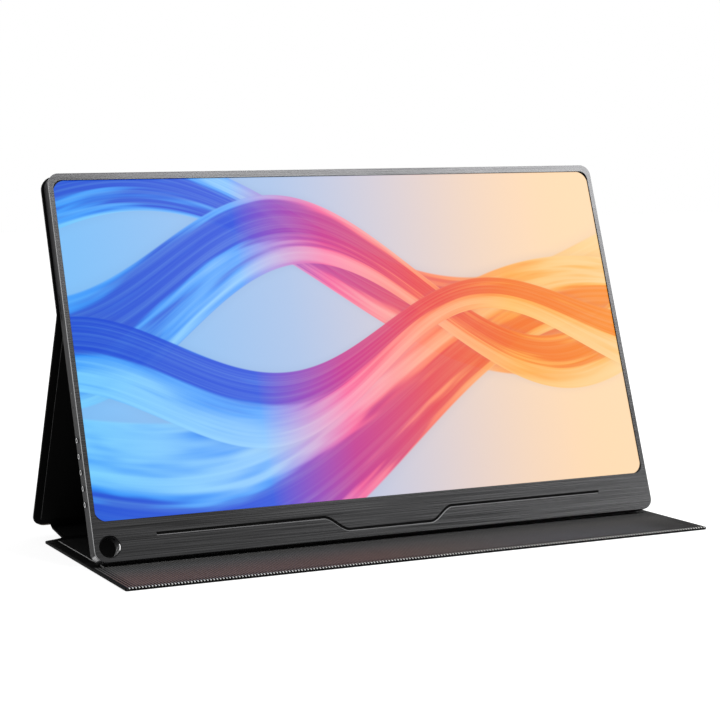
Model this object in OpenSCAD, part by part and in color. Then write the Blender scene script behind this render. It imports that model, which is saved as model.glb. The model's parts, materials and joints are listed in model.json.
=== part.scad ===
// Portable monitor standing in its folding cover.
// Row frame: +X along the screen's width, +Y towards the back, +Z up.
// The origin is on the table, under the middle of the whole object.

/* [Screen and monitor body] */
// Width of the picture area
panel_w = 344.2; // [250:0.1:420]
// Height of the picture area
panel_h = 193.6; // [150:0.1:240]
// Frame width left and right of the picture
side_bezel = 2.9; // [2.4:0.1:8]
// Frame width above the picture
top_bezel = 4.1; // [3.4:0.1:10]
// Height of the chin below the picture
chin_h = 22.4; // [20:0.1:30]
// Thickness of the whole monitor
monitor_t = 8.8; // [8.8:0.1:14]
// Corner radius of the monitor seen from the front
monitor_r = 6.5; // [4:0.1:8]
// Corner radius of the picture opening
screen_r = 5; // [1:0.1:8]
// Thickness of the front frame
frame_t = 1; // [0.8:0.05:1.4]
// Thickness of the housing's side walls
wall_t = 1.3; // [1:0.05:1.5]
// Thickness of the housing's back wall
back_t = 1; // [0.9:0.05:1.3]

/* [Chin] */
// Distance of the pen hole's centre from the side
pen_x = 8.9; // [8.6:0.1:14]
// Height of the pen hole's centre above the monitor's bottom edge
pen_v = 8.4; // [8:0.1:11]
// Radius of the hole through the pen hole's liner
pen_r = 5.6; // [3:0.05:6]
// Wall of the pen hole's liner
liner_wall = 0.7; // [0.5:0.05:1]
// Half length of the milled line along the chin
groove_half = 139.3; // [60:0.1:150]
// Height of the milled line at its ends
groove_high = 13.1; // [12:0.1:18]
// Height of the milled line in the middle
groove_low = 5.1; // [4:0.1:10]
// Half length of the low middle stretch
groove_flat = 25.5; // [10:0.5:50]
// Length of each sloping stretch
groove_slope = 15; // [8:0.5:20]
// Width of the milled line
groove_w = 1.9; // [0.6:0.1:2]
// Depth of the milled line
groove_d = 0.4; // [0.2:0.05:0.6]

/* [Keys and ports] */
// Height of the lowest key above the monitor's bottom edge
key_v = 33.1; // [30:0.1:40]
// Distance between neighbouring keys
key_pitch = 8.9; // [7:0.1:10]
// Radius of a key
key_r = 1.5; // [1:0.05:1.6]
// How far a key stands out of the side
key_out = 0.5; // [0.4:0.05:0.8]
// Gap all round a key in its hole
key_gap = 0.08; // [0.05:0.01:0.1]
// Height of the status light's pinhole
status_v = 95.3; // [80:0.1:110]
// Height of the reset pinhole
reset_v = 87.2; // [78:0.1:92]
// Height of the lowest sound slot
slot_v = 138.2; // [120:0.1:150]
// Distance between neighbouring sound slots
slot_pitch = 5.8; // [5:0.1:7]
// Height of the headphone jack
jack_v = 13.6; // [12:0.1:14.5]
// Height of the mini video port
video_v = 34; // [30:0.1:40]
// Height of the lower of the two power and data ports
usb_v = 54; // [48:0.1:60]
// Distance between those two ports
usb_pitch = 20; // [14:0.5:24]

/* [Cover] */
// How far the cover stands out on each side of the monitor
cover_side = 1.3; // [0.5:0.1:4]
// How far the back panel stands above the monitor's top edge
cover_lip = 1.3; // [0.5:0.1:3]
// Thickness of the back panel
upper_t = 2.6; // [2.4:0.1:3.5]
// Thickness of the prop panel
strut_t = 2.2; // [2:0.1:2.4]
// Thickness of the spine strip
spine_t = 1.6; // [1.4:0.1:1.8]
// Thickness of the front flap
flap_t = 1.8; // [1.6:0.1:2.4]
// Length of the prop panel, from fold line to fold line
strut_len = 147.3; // [120:0.1:180]
// Width of the spine strip, from fold line to fold line
spine_len = 26.6; // [18:0.1:36]
// Depth of the front flap, from its front edge to its end at the fold
flap_len = 151.3; // [110:0.1:230]
// How far the spine strip stops short of the cover's sides
spine_inset = 12; // [6:0.5:20]
// Half the gap between two panels at a fold
fold_half = 2; // [2:0.1:3]
// Radius of the roll of covering cloth in a fold
fold_r = 0.9; // [0.6:0.05:0.95]
// Thickness of the outer skin and of the lining
skin_t = 0.4; // [0.3:0.05:0.5]
// Width of the skin's turned-in edge
hem_w = 5; // [3:0.5:8]
// Width of skin beyond the edge of a board
skin_edge = 0.7; // [0.5:0.1:1.5]
// Corner radius of the prop panel's lower corners
strut_r = 7; // [3:0.5:12]

/* [Stand] */
// How far the monitor leans back from upright
lean = 19.3; // [12:0.1:26]
// How far the prop panel splays from upright
splay = 27.7; // [22:0.1:34]
// Height of the prop panel's lower fold above the flap
fold_lift = 2.2; // [1.8:0.1:4]
// Gap between the monitor's resting edge and the flap
foot_gap = 0.05; // [0.05:0.01:0.2]

/* [Hidden] */
$fn = 48;
// through-cuts run this far past the faces they open
over = 1;

// outer size of the monitor
mon_w = panel_w + 2 * side_bezel;
mon_h = chin_h + panel_h + top_bezel;
mon_side = mon_w / 2;
cover_w = mon_w + 2 * cover_side;

// layers of the monitor, as depths behind its front face
tape_t = 0.1;
glass_b = frame_t + tape_t;
glass_t = 1;
flex_t = 0.1;
layer_gap = 0.05;
tray_b = glass_b + glass_t + flex_t + layer_gap;
film_b = tray_b + layer_gap;
film_t = 0.35;
guide_b = film_b + film_t + layer_gap;
guide_t = 0.7;
reflector_b = guide_b + guide_t + layer_gap;
reflector_t = 0.15;
tray_t = 0.25;
tray_floor_b = reflector_b + reflector_t + 2 * layer_gap;
tray_end_b = tray_floor_b + tray_t;
inner_end_b = monitor_t - back_t;
port_b = tray_end_b + 1.9;
board_t = 0.8;
board_b = tray_end_b + 0.8;
board_end_b = board_b + board_t;

// outlines of the glass and of what lies behind it
glass_side = 0.9;
glass_ledge = 4.2;
glass_top = 1.4;
glass_half = panel_w / 2 + glass_side;
glass_v0 = chin_h - glass_ledge;
glass_v1 = chin_h + panel_h + glass_top;
stack_r = monitor_r - wall_t;
tape_lip = 0.3;
tray_margin = 0.2;
stack_margin = 0.4;
led_strip_h = 1.2;

// holes and screws
screw_r = 0.8;
screw_head_r = 1.4;
screw_head_t = 0.5;
screw_gap = 0.03;
screw_v = 4.6;
screw_n = 5;
screw_inset = 35;
screw_span = mon_w - 2 * screw_inset;
boss_r = 1.8;
screw_end_b = frame_t + 1;
counterbore_gap = 0.05;
counterbore_d = screw_head_t + counterbore_gap;
screw_tip_gap = 0.2;
pen_centre_x = -mon_side + pen_x;
liner_r = pen_r + liner_wall;
liner_gap = 0.05;
frame_hole_r = pen_r + 0.25;

// keys: a cap through the wall, a flange behind it and a tail towards the switch
key_count = 5;
key_b = port_b;
flange_gap = 0.1;
flange_r = port_b - tray_end_b - layer_gap;
flange_t = 0.6;
tail_r = 0.8;
tail_len = 0.9;
switch_gap = 0.5;
switch_l = 3;
switch_w = 4.4;
switch_half_t = 0.8;
switch_b0 = key_b - switch_half_t;
key_board_gap = 0.15;
key_board_b = inner_end_b - key_board_gap - board_t;
key_board_w = 7.6;
key_board_below = 6;
key_board_above = 5;
key_board_v0 = key_v - key_board_below;
key_board_v1 = status_v + key_board_above;
switch_x = -mon_side + wall_t + flange_gap + flange_t + tail_len + switch_gap;
pinhole_r = 0.6;
lens_gap = 0.05;
lens_sink = 0.1;
light_l = 2;
join = 0.1;

// sound slots and speakers
slot_n = 3;
slot_l = 4;
slot_w = 1.3;
speaker_w = 12;
speaker_h = 32;
speaker_wall_gap = 0.6;
speaker_gap = 0.2;
speaker_b0 = tray_end_b + speaker_gap;
speaker_b1 = inner_end_b - speaker_gap;
speaker_mouth = 3;
port_recess = 0.6;
shell_wall = 0.3;
usb_w = 8.94;
usb_h = 3.2;
usb_l = 7.4;
video_w = 11;
video_h = 3.2;
video_l = 7.6;
jack_body_v = 6;
jack_body_b = 5.2;
jack_l = 13;
jack_r = 1.8;
jack_collar_r = jack_r + 0.6;
jack_b = port_b - 0.8;
jack_end = 1.5;
jack_wall_gap = 0.2;
port_gap = 0.15;
tongue_share = 0.75;
tongue_t = 0.7;
shell_back = 1;
tongue_root = 0.5;
tongue_sink = 0.8;

// main board
board_w = 71;
board_side_gap = 2.2;
board_x1 = mon_side - wall_t - board_side_gap;
board_x0 = board_x1 - board_w;
board_v0 = screw_v + boss_r + 0.6;
board_above = 38;
board_v1 = usb_v + usb_pitch + board_above;
board_inset = 4;
board_port_clear = 8;
board_jack_clear = 15;
board_screw_r = 0.6;
board_head_r = 1.5;
board_head_t = 0.6;
standoff_r = 1.7;
chip_t = 0.9;

// cables and driver board in the chin
driver_half = 85;
driver_v0 = 8.5;
driver_gap = 1.4;
driver_v1 = glass_v0 - driver_gap;
driver_b = glass_b + glass_t + flex_t;
driver_t = 0.8;
cable_v0 = driver_v0 + 1;
cable_v1 = driver_v1 - 1.3;
cable_t = 0.2;
ribbon_t = 0.1;
ribbon_h = 6;
ribbon_v = key_v + (key_count - 1) * key_pitch + switch_w / 2 + 2;
plate_margin_x = 50;
plate_margin_v = 8;
plate_t = 0.3;

// magnets
magnet_r = 6;
magnet_t = 1.5;
magnet_gap = 0.1;
magnet_n = 3;
magnet_margin = 1;
magnet_margin_x = 20;
bar_l = 20;
bar_w = 5;
bar_t = 0.8;
bar_n = 4;
bar_margin = 40;

// side view of the stand, worked out from the monitor's resting edge
table_z = flap_t;
foot_z = table_z + foot_gap + monitor_t * sin(lean);
cover_gap = 0.02;
fold_b = monitor_t + cover_gap + upper_t / 2;
lower_fold_z = table_z + fold_lift;
upper_fold_z = lower_fold_z + strut_len * cos(splay);
fold_v = (upper_fold_z - foot_z + fold_b * sin(lean)) / cos(lean);
upper_fold_dy = fold_v * sin(lean) + fold_b * cos(lean);
lower_fold_dy = upper_fold_dy + strut_len * sin(splay);
flap_fold_z = flap_t / 2;
spine_rise = lower_fold_z - flap_fold_z;
spine_run = sqrt(spine_len * spine_len - spine_rise * spine_rise);
spine_angle = atan2(spine_run, spine_rise);
flap_fold_dy = lower_fold_dy - spine_run;
flap_front_dy = flap_fold_dy - fold_half - flap_len;
rear_dy = lower_fold_dy + fold_r;
// y of the monitor's front bottom edge, so that the origin is under the middle
foot_y = -(flap_front_dy + rear_dy) / 2;
upper_fold_y = foot_y + upper_fold_dy;
lower_fold_y = foot_y + lower_fold_dy;
flap_fold_y = foot_y + flap_fold_dy;
spine_w = cover_w - 2 * spine_inset;

// steel plate inside the housing, facing the back panel
plate_v0 = fold_v + fold_half + plate_margin_v;
plate_v1 = mon_h - wall_t - plate_margin_v;

// ---------- shared shapes ----------

// Places children in the monitor's frame: x along the width, y from the front
// face into the depth, z up along the screen from the bottom edge.
module on_monitor() {
    translate([0, foot_y, foot_z])
        rotate([-lean, 0, 0])
            children();
}

// Places children in a panel's frame: the fold line is the origin, z runs up
// along the panel and y points to its outer side.
module on_panel(y, z, turn) {
    translate([0, y, z])
        rotate([turn, 0, 0])
            children();
}

module on_upper() {
    on_panel(upper_fold_y, upper_fold_z, -lean) children();
}

module on_strut() {
    on_panel(upper_fold_y, upper_fold_z, splay) children();
}

module on_spine() {
    on_panel(flap_fold_y, flap_fold_z, -spine_angle) children();
}

module on_flap() {
    on_panel(flap_fold_y, flap_fold_z, -90) children();
}

// Plate from depth b0 to depth b1, with its outline drawn in x and height.
module slab(b0, b1) {
    translate([0, b1, 0])
        rotate([90, 0, 0])
            linear_extrude(b1 - b0)
                children();
}

module box(x0, x1, b0, b1, v0, v1) {
    translate([x0, b0, v0])
        cube([x1 - x0, b1 - b0, v1 - v0]);
}

// Cylinder that starts at depth b and runs into the depth.
module deep_rod(x, v, b, h, r) {
    translate([x, b, v])
        rotate([-90, 0, 0])
            cylinder(h = h, r = r);
}

// Cylinder that starts at x and runs along +X.
module cross_rod(x, b, v, h, r) {
    translate([x, b, v])
        rotate([0, 90, 0])
            cylinder(h = h, r = r);
}

// Centred rectangle of width w from height v0 to v1, with radius r at its lower
// corners and radius q at its upper ones.
module outline(w, v0, v1, r, q) {
    square_r = max(r, q, 0.01);
    translate([-w / 2 + square_r, v0])
        square([w - 2 * square_r, v1 - v0]);
    translate([-w / 2, v0 + r])
        square([w, v1 - v0 - r - q]);
    for (side = [-1, 1]) {
        if (r > 0)
            translate([side * (w / 2 - r), v0 + r])
                circle(r);
        if (q > 0)
            translate([side * (w / 2 - q), v1 - q])
                circle(q);
        if (square_r > r)
            translate([side > 0 ? w / 2 - square_r : -w / 2 + r, v0])
                square([square_r - r, v1 - v0 - q]);
        if (square_r > q)
            translate([side > 0 ? w / 2 - square_r : -w / 2 + q, v0 + r])
                square([square_r - q, v1 - v0 - r]);
    }
}

// Slot with round ends, drawn in the plane of the side wall and cut along X.
module side_slot(x, b, v, depth, long, wide) {
    translate([x, b, v])
        rotate([0, 90, 0])
            linear_extrude(depth)
                stadium(long, wide);
}

module stadium(long, wide) {
    square([long - wide, wide], center = true);
    for (end = [-1, 1])
        translate([end * (long - wide) / 2, 0])
            circle(wide / 2);
}

function spread(n, span) = [for (i = [0 : n - 1]) -span / 2 + i * span / (n - 1)];
function key_height(i) = key_v + (i - 1) * key_pitch;

screw_places = spread(screw_n, screw_span);
board_places = [for (x = [board_x0 + board_inset, board_x1 - board_inset - board_port_clear],
    v = [board_v0 + board_inset + board_jack_clear, board_v1 - board_inset]) [x, v]];

// ---------- monitor ----------

// Height of the milled line's centre at x, with smooth ends on each slope.
function groove_height(x) =
    let (t = min(1, max(0, (abs(x) - groove_flat) / groove_slope)))
    groove_low + (groove_high - groove_low) * t * t * (3 - 2 * t);

function groove_slant(x) =
    let (t = min(1, max(0, (abs(x) - groove_flat) / groove_slope)))
    (groove_high - groove_low) * 6 * t * (1 - t) / groove_slope;

function groove_edge(x, side) =
    [x, groove_height(x) + side * groove_w / 2 * sqrt(1 + pow(groove_slant(x), 2))];

groove_steps = 10;
groove_xs = concat([-groove_half],
    [for (i = [groove_steps : -1 : 0]) -groove_flat - groove_slope * i / groove_steps],
    [for (i = [0 : groove_steps]) groove_flat + groove_slope * i / groove_steps],
    [groove_half]);
groove_last = len(groove_xs) - 1;

module groove_outline() {
    polygon(concat(
        [for (i = [0 : groove_last]) groove_edge(groove_xs[i], 1)],
        [for (i = [groove_last : -1 : 0]) groove_edge(groove_xs[i], -1)]));
}

module front_frame() {
    color("dimgray")
        on_monitor()
            difference() {
                union() {
                    slab(0, frame_t)
                        outline(mon_w, 0, mon_h, monitor_r, monitor_r);
                    for (x = screw_places)
                        deep_rod(x, screw_v, frame_t, inner_end_b - frame_t - layer_gap, boss_r);
                }
                slab(-over, frame_t + over)
                    outline(panel_w, chin_h, chin_h + panel_h, screen_r, screen_r);
                deep_rod(pen_centre_x, pen_v, -over, frame_t + 2 * over, frame_hole_r);
                slab(-over, groove_d)
                    groove_outline();
                for (x = screw_places)
                    deep_rod(x, screw_v, screw_end_b, monitor_t, screw_r + screw_gap);
            }
}

module rear_housing() {
    color("slategray")
        on_monitor()
            difference() {
                union() {
                    difference() {
                        slab(frame_t, monitor_t)
                            outline(mon_w, 0, mon_h, monitor_r, monitor_r);
                        slab(frame_t - over, inner_end_b)
                            outline(mon_w - 2 * wall_t, wall_t, mon_h - wall_t,
                                monitor_r - wall_t, monitor_r - wall_t);
                    }
                    for (place = board_places)
                        deep_rod(place[0], place[1], board_end_b, inner_end_b - board_end_b,
                            standoff_r);
                }
                deep_rod(pen_centre_x, pen_v, inner_end_b - over, back_t + 2 * over,
                    liner_r + liner_gap);
                for (x = screw_places) {
                    deep_rod(x, screw_v, inner_end_b - over, back_t + 2 * over,
                        screw_r + 3 * screw_gap);
                    deep_rod(x, screw_v, monitor_t - counterbore_d, over,
                        screw_head_r + 3 * screw_gap);
                }
                for (place = board_places)
                    deep_rod(place[0], place[1], board_b, inner_end_b - board_b,
                        board_screw_r + screw_gap);
                for (i = [1 : key_count])
                    cross_rod(-mon_side - over, key_b, key_height(i), wall_t + 2 * over,
                        key_r + key_gap);
                for (v = [status_v, reset_v])
                    cross_rod(-mon_side - over, key_b, v, wall_t + 2 * over, pinhole_r);
                for (i = [0 : slot_n - 1], x = [-mon_side - over, mon_side - wall_t - over])
                    side_slot(x, key_b, slot_v + i * slot_pitch, wall_t + 2 * over,
                        slot_l, slot_w);
                for (i = [0 : 1])
                    side_slot(mon_side - wall_t - over, port_b, usb_v + i * usb_pitch,
                        wall_t + 2 * over, usb_w + 2 * port_gap, usb_h + 2 * port_gap);
                side_slot(mon_side - wall_t - over, port_b, video_v, wall_t + 2 * over,
                    video_w + 2 * port_gap, video_h + 2 * port_gap);
                cross_rod(mon_side - wall_t - over, jack_b, jack_v, wall_t + 2 * over,
                    jack_collar_r + port_gap);
            }
}

module bonding_tape() {
    color("black")
        on_monitor()
            difference() {
                slab(frame_t, glass_b)
                    outline(2 * glass_half, glass_v0, glass_v1, 0, stack_r);
                slab(frame_t - over, glass_b + over)
                    outline(panel_w + 2 * tape_lip, chin_h - tape_lip,
                        chin_h + panel_h + tape_lip, screen_r, screen_r);
            }
}

module lcd_glass() {
    color("lightskyblue")
        on_monitor()
            slab(glass_b, glass_b + glass_t)
                outline(2 * glass_half, glass_v0, glass_v1, 0, stack_r);
}

flex_places = spread(3, 110);
flex_half = 12;
flex_land = 3;
flex_lap = 0.8;

module panel_flex() {
    color("darkorange")
        on_monitor()
            for (x = flex_places)
                box(x - flex_half, x + flex_half, driver_b - flex_t, driver_b,
                    driver_v1 - flex_land, glass_v0 + flex_lap);
}

// A sheet of the picture's light stack, of the tray's inner width.
module stack_sheet(b, t, v0) {
    slab(b, b + t)
        outline(2 * (glass_half - stack_margin), v0, glass_v1 - stack_margin, 0, stack_r);
}

module diffuser_films() {
    color("white")
        on_monitor()
            stack_sheet(film_b, film_t, glass_v0 + stack_margin);
}

led_v0 = glass_v0 + stack_margin;
led_gap = 0.2;
led_margin = 3;
guide_v0 = led_v0 + led_strip_h + led_gap;

module light_guide() {
    color("aliceblue")
        on_monitor()
            stack_sheet(guide_b, guide_t, guide_v0);
}

module reflector_sheet() {
    color("whitesmoke")
        on_monitor()
            stack_sheet(reflector_b, reflector_t, glass_v0 + stack_margin);
}

module led_strip() {
    color("gold")
        on_monitor()
            box(-glass_half + led_margin, glass_half - led_margin, guide_b, guide_b + guide_t,
                led_v0, led_v0 + led_strip_h);
}

module backlight_tray() {
    color("silver")
        on_monitor()
            difference() {
                slab(tray_b, tray_end_b)
                    outline(2 * (glass_half + tray_margin), glass_v0 - tray_margin,
                        glass_v1 + tray_margin, 0, stack_r);
                slab(tray_b - over, tray_floor_b)
                    outline(2 * (glass_half - tray_margin), glass_v0 + tray_margin,
                        glass_v1 - tray_margin, 0, stack_r);
            }
}

socket_l = 10;
socket_inset = 5;
socket_x1 = driver_half - socket_inset;
socket_x0 = socket_x1 - socket_l;
cable_lap = 12;
driver_chip_xs = [-50, -10, 30];
driver_chip_l = 12;
driver_chip_inset = 1.5;

module driver_board() {
    color("darkgreen")
        on_monitor() {
            box(-driver_half, driver_half, driver_b, driver_b + driver_t, driver_v0, driver_v1);
            for (x = driver_chip_xs)
                box(x, x + driver_chip_l, driver_b + driver_t, driver_b + driver_t + chip_t,
                    driver_v0 + driver_chip_inset, driver_v1 - driver_chip_inset);
            box(socket_x0, socket_x1, driver_b + driver_t, board_b - cable_t,
                cable_v0, cable_v1);
        }
}

module display_cable() {
    color("dimgray")
        on_monitor()
            box(socket_x0, board_x0 + cable_lap, board_b - cable_t, board_b, cable_v0, cable_v1);
}

// Cut-out in the main board's right edge for a connector.
module board_notch(v, wide, length) {
    x0 = mon_side - port_recess - length;
    box(x0 - port_gap, board_x1 + over, board_b - over, board_end_b + over,
        v - wide / 2 - port_gap, v + wide / 2 + port_gap);
}

module main_board() {
    color("seagreen")
        on_monitor()
            difference() {
                box(board_x0, board_x1, board_b, board_end_b, board_v0, board_v1);
                for (i = [0 : 1])
                    board_notch(usb_v + i * usb_pitch, usb_w, usb_l);
                board_notch(video_v, video_w, video_l);
                board_notch(jack_v, jack_body_v, jack_l);
                for (place = board_places)
                    deep_rod(place[0], place[1], board_b - over, board_t + 2 * over,
                        board_screw_r + 3 * screw_gap);
            }
}

shield_l = 34;
shield_h = 28;
shield_t = 1.5;
shield_sheet = 0.3;
shield_x0 = board_x0 + 14;
shield_v0 = video_v + 4;
main_chip_x = 8;
main_chip_v = 6;
memory_l = 7;
memory_w = 5;
memory_vs = [board_v1 - 26, board_v1 - 16];
ribbon_socket_x0 = board_x0 + 1;
ribbon_socket_x1 = board_x0 + 7;

module board_shield() {
    color("lightgray")
        on_monitor()
            difference() {
                box(shield_x0, shield_x0 + shield_l, board_end_b, board_end_b + shield_t,
                    shield_v0, shield_v0 + shield_h);
                box(shield_x0 + shield_sheet, shield_x0 + shield_l - shield_sheet,
                    board_end_b - over, board_end_b + shield_t - shield_sheet,
                    shield_v0 + shield_sheet, shield_v0 + shield_h - shield_sheet);
            }
}

module board_chips() {
    color("black")
        on_monitor() {
            box(shield_x0 + main_chip_x, shield_x0 + shield_l - main_chip_x,
                board_end_b, board_end_b + chip_t,
                shield_v0 + main_chip_v, shield_v0 + shield_h - main_chip_v);
            for (v = memory_vs)
                box(shield_x0, shield_x0 + memory_l, board_end_b, board_end_b + chip_t,
                    v, v + memory_w);
            box(ribbon_socket_x0, ribbon_socket_x1, board_end_b, key_board_b - ribbon_t,
                ribbon_v, ribbon_v + ribbon_h);
        }
}

// Hollow metal shell of a connector, open towards +X, with a contact tongue.
module port_shell(v, wide, high, length) {
    x1 = mon_side - port_recess;
    x0 = x1 - length;
    difference() {
        side_slot(x0, port_b, v, length, wide, high);
        side_slot(x0 + shell_back, port_b, v, length, wide - 2 * shell_wall,
            high - 2 * shell_wall);
    }
    tongue_half = tongue_share * wide / 2;
    box(x0 + tongue_root, x1 - tongue_sink, port_b - tongue_t / 2, port_b + tongue_t / 2,
        v - tongue_half, v + tongue_half);
}

module usb_c_ports() {
    color("silver")
        on_monitor()
            for (i = [0 : 1])
                port_shell(usb_v + i * usb_pitch, usb_w, usb_h, usb_l);
}

module mini_video_port() {
    color("silver")
        on_monitor()
            port_shell(video_v, video_w, video_h, video_l);
}

module headphone_jack() {
    color("black")
        on_monitor()
            difference() {
                union() {
                    box(mon_side - port_recess - jack_l, mon_side - wall_t - jack_wall_gap,
                        jack_b - jack_body_b / 2, jack_b + jack_body_b / 2,
                        jack_v - jack_body_v / 2, jack_v + jack_body_v / 2);
                    cross_rod(mon_side - wall_t - over, jack_b, jack_v,
                        wall_t + over - port_recess, jack_collar_r);
                }
                cross_rod(mon_side - port_recess - jack_l + jack_end, jack_b, jack_v, jack_l, jack_r);
            }
}

module key_board() {
    color("seagreen")
        on_monitor() {
            box(switch_x, switch_x + key_board_w, key_board_b, key_board_b + board_t,
                key_board_v0, key_board_v1);
            box(switch_x, switch_x + light_l, switch_b0, key_board_b,
                status_v - light_l / 2, status_v + light_l / 2);
        }
}

module key_switches() {
    color("black")
        on_monitor()
            for (i = [1 : key_count])
                box(switch_x, switch_x + switch_l, switch_b0, key_board_b,
                    key_height(i) - switch_w / 2, key_height(i) + switch_w / 2);
}

module key_ribbon() {
    color("darkorange")
        on_monitor()
            box(switch_x + switch_l, ribbon_socket_x1, key_board_b - ribbon_t, key_board_b,
                ribbon_v, ribbon_v + ribbon_h);
}

module status_lens() {
    color("white")
        on_monitor()
            cross_rod(-mon_side + lens_sink, key_b, status_v, switch_x + mon_side - lens_sink,
                pinhole_r - lens_gap);
}

module key_cap(i) {
    color("darkgray")
        on_monitor() {
            v = key_height(i);
            behind = -mon_side + wall_t + flange_gap;
            cross_rod(-mon_side - key_out, key_b, v, behind + mon_side + key_out + join, key_r);
            cross_rod(behind, key_b, v, flange_t, flange_r);
            cross_rod(behind + flange_t - join, key_b, v, tail_len + join, tail_r);
        }
}

module key_1() { key_cap(1); }
module key_2() { key_cap(2); }
module key_3() { key_cap(3); }
module key_4() { key_cap(4); }
module key_5() { key_cap(5); }

module speaker(side) {
    v_mid = slot_v + (slot_n - 1) * slot_pitch / 2;
    x_outer = mon_side - wall_t - speaker_wall_gap;
    color("darkslategray")
        on_monitor()
            mirror([side < 0 ? 1 : 0, 0, 0])
                difference() {
                    box(x_outer - speaker_w, x_outer, speaker_b0, speaker_b1,
                        v_mid - speaker_h / 2, v_mid + speaker_h / 2);
                    for (i = [-1 : 1])
                        side_slot(x_outer - speaker_mouth, key_b, v_mid + i * slot_pitch,
                            speaker_mouth + over, slot_l, slot_w);
                }
}

module speaker_left() { speaker(-1); }
module speaker_right() { speaker(1); }

notch_turn = 35;
notch_w = 3.2;
notch_d = 0.35;

module pen_hole_liner() {
    color("black")
        on_monitor()
            difference() {
                deep_rod(pen_centre_x, pen_v, frame_t, monitor_t - frame_t, liner_r);
                deep_rod(pen_centre_x, pen_v, frame_t - over, monitor_t + 2 * over, pen_r);
                translate([pen_centre_x, (frame_t + monitor_t) / 2, pen_v])
                    rotate([0, notch_turn, 0])
                        translate([pen_r, 0, 0])
                            cube([2 * notch_d, monitor_t / 3, notch_w], center = true);
            }
}

module steel_plate() {
    color("silver")
        on_monitor()
            box(-mon_side + plate_margin_x, mon_side - plate_margin_x, inner_end_b - plate_t,
                inner_end_b, plate_v0, plate_v1);
}

module housing_screws() {
    color("black")
        on_monitor()
            for (x = screw_places) {
                deep_rod(x, screw_v, screw_end_b + screw_tip_gap,
                    monitor_t - screw_end_b - screw_tip_gap - screw_head_t, screw_r);
                deep_rod(x, screw_v, monitor_t - screw_head_t, screw_head_t, screw_head_r);
            }
}

module board_screws() {
    color("silver")
        on_monitor()
            for (place = board_places) {
                deep_rod(place[0], place[1], board_b - board_head_t, board_head_t, board_head_r);
                deep_rod(place[0], place[1], board_b, inner_end_b - board_b - screw_tip_gap,
                    board_screw_r);
            }
}

// ---------- cover ----------

// Outer skin of a panel: a full sheet outside, an edge all round and a
// turned-in hem, with the board's space and the lining's window left open.
module panel_skin(w, v0, v1, t, r, q) {
    in_r = max(0, r - skin_edge);
    in_q = max(0, q - skin_edge);
    difference() {
        slab(-t / 2, t / 2)
            outline(w, v0, v1, r, q);
        slab(-t / 2 + skin_t, t / 2 - skin_t)
            outline(w - 2 * skin_edge, v0 + skin_edge, v1 - skin_edge, in_r, in_q);
        slab(-t / 2 - over, -t / 2 + skin_t)
            outline(w - 2 * hem_w, v0 + hem_w, v1 - hem_w, max(0, r - hem_w), max(0, q - hem_w));
    }
}

module panel_board(w, v0, v1, t, r, q) {
    slab(-t / 2 + skin_t, t / 2 - skin_t)
        outline(w - 2 * skin_edge, v0 + skin_edge, v1 - skin_edge,
            max(0, r - skin_edge), max(0, q - skin_edge));
}

module panel_lining(w, v0, v1, t, r, q) {
    slab(-t / 2, -t / 2 + skin_t)
        outline(w - 2 * hem_w, v0 + hem_w, v1 - hem_w, max(0, r - hem_w), max(0, q - hem_w));
}

upper_v1 = mon_h + cover_lip - fold_v;
upper_q = monitor_r + cover_lip;

module upper_skin() {
    color("black")
        on_upper()
            panel_skin(cover_w, fold_half, upper_v1, upper_t, 0, upper_q);
}

// the magnets lie within the steel plate's outline
magnet_xs = spread(magnet_n, mon_w - 2 * (plate_margin_x + magnet_margin_x));
magnet_vs = [plate_v0 - fold_v + magnet_margin + magnet_r,
    plate_v1 - fold_v - magnet_margin - magnet_r];

module upper_board() {
    color("dimgray")
        on_upper()
            difference() {
                panel_board(cover_w, fold_half, upper_v1, upper_t, 0, upper_q);
                for (x = magnet_xs, v = magnet_vs)
                    deep_rod(x, v, -upper_t / 2 + skin_t - over, magnet_t + over,
                        magnet_r + magnet_gap);
            }
}

module upper_lining() {
    color("darkslategray")
        on_upper()
            panel_lining(cover_w, fold_half, upper_v1, upper_t, 0, upper_q);
}

module upper_magnets() {
    color("silver")
        on_upper()
            for (x = magnet_xs, v = magnet_vs)
                deep_rod(x, v, -upper_t / 2 + skin_t, magnet_t - magnet_gap, magnet_r);
}

module strut_skin() {
    color("black")
        on_strut()
            panel_skin(cover_w, -strut_len + fold_half, -fold_half, strut_t, strut_r, 0);
}

module strut_board() {
    color("dimgray")
        on_strut()
            panel_board(cover_w, -strut_len + fold_half, -fold_half, strut_t, strut_r, 0);
}

module strut_lining() {
    color("darkslategray")
        on_strut()
            panel_lining(cover_w, -strut_len + fold_half, -fold_half, strut_t, strut_r, 0);
}

module spine_skin() {
    color("black")
        on_spine()
            panel_skin(spine_w, fold_half, spine_len - fold_half, spine_t, 0, 0);
}

module spine_board() {
    color("dimgray")
        on_spine()
            panel_board(spine_w, fold_half, spine_len - fold_half, spine_t, 0, 0);
}

module spine_lining() {
    color("darkslategray")
        on_spine()
            panel_lining(spine_w, fold_half, spine_len - fold_half, spine_t, 0, 0);
}

module flap_skin() {
    color("black")
        on_flap()
            panel_skin(cover_w, -fold_half - flap_len, -fold_half, flap_t, 0, 0);
}

// heights of the bar magnets in the flap's frame, under the monitor's edge
bar_v = -(flap_fold_dy - monitor_t / 2 * cos(lean));
bar_xs = spread(bar_n, mon_w - 2 * bar_margin);

module flap_board() {
    color("dimgray")
        on_flap()
            difference() {
                panel_board(cover_w, -fold_half - flap_len, -fold_half, flap_t, 0, 0);
                for (x = bar_xs)
                    box(x - bar_l / 2 - magnet_gap, x + bar_l / 2 + magnet_gap,
                        -flap_t / 2 + skin_t - over, -flap_t / 2 + skin_t + bar_t,
                        bar_v - bar_w / 2 - magnet_gap, bar_v + bar_w / 2 + magnet_gap);
            }
}

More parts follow.
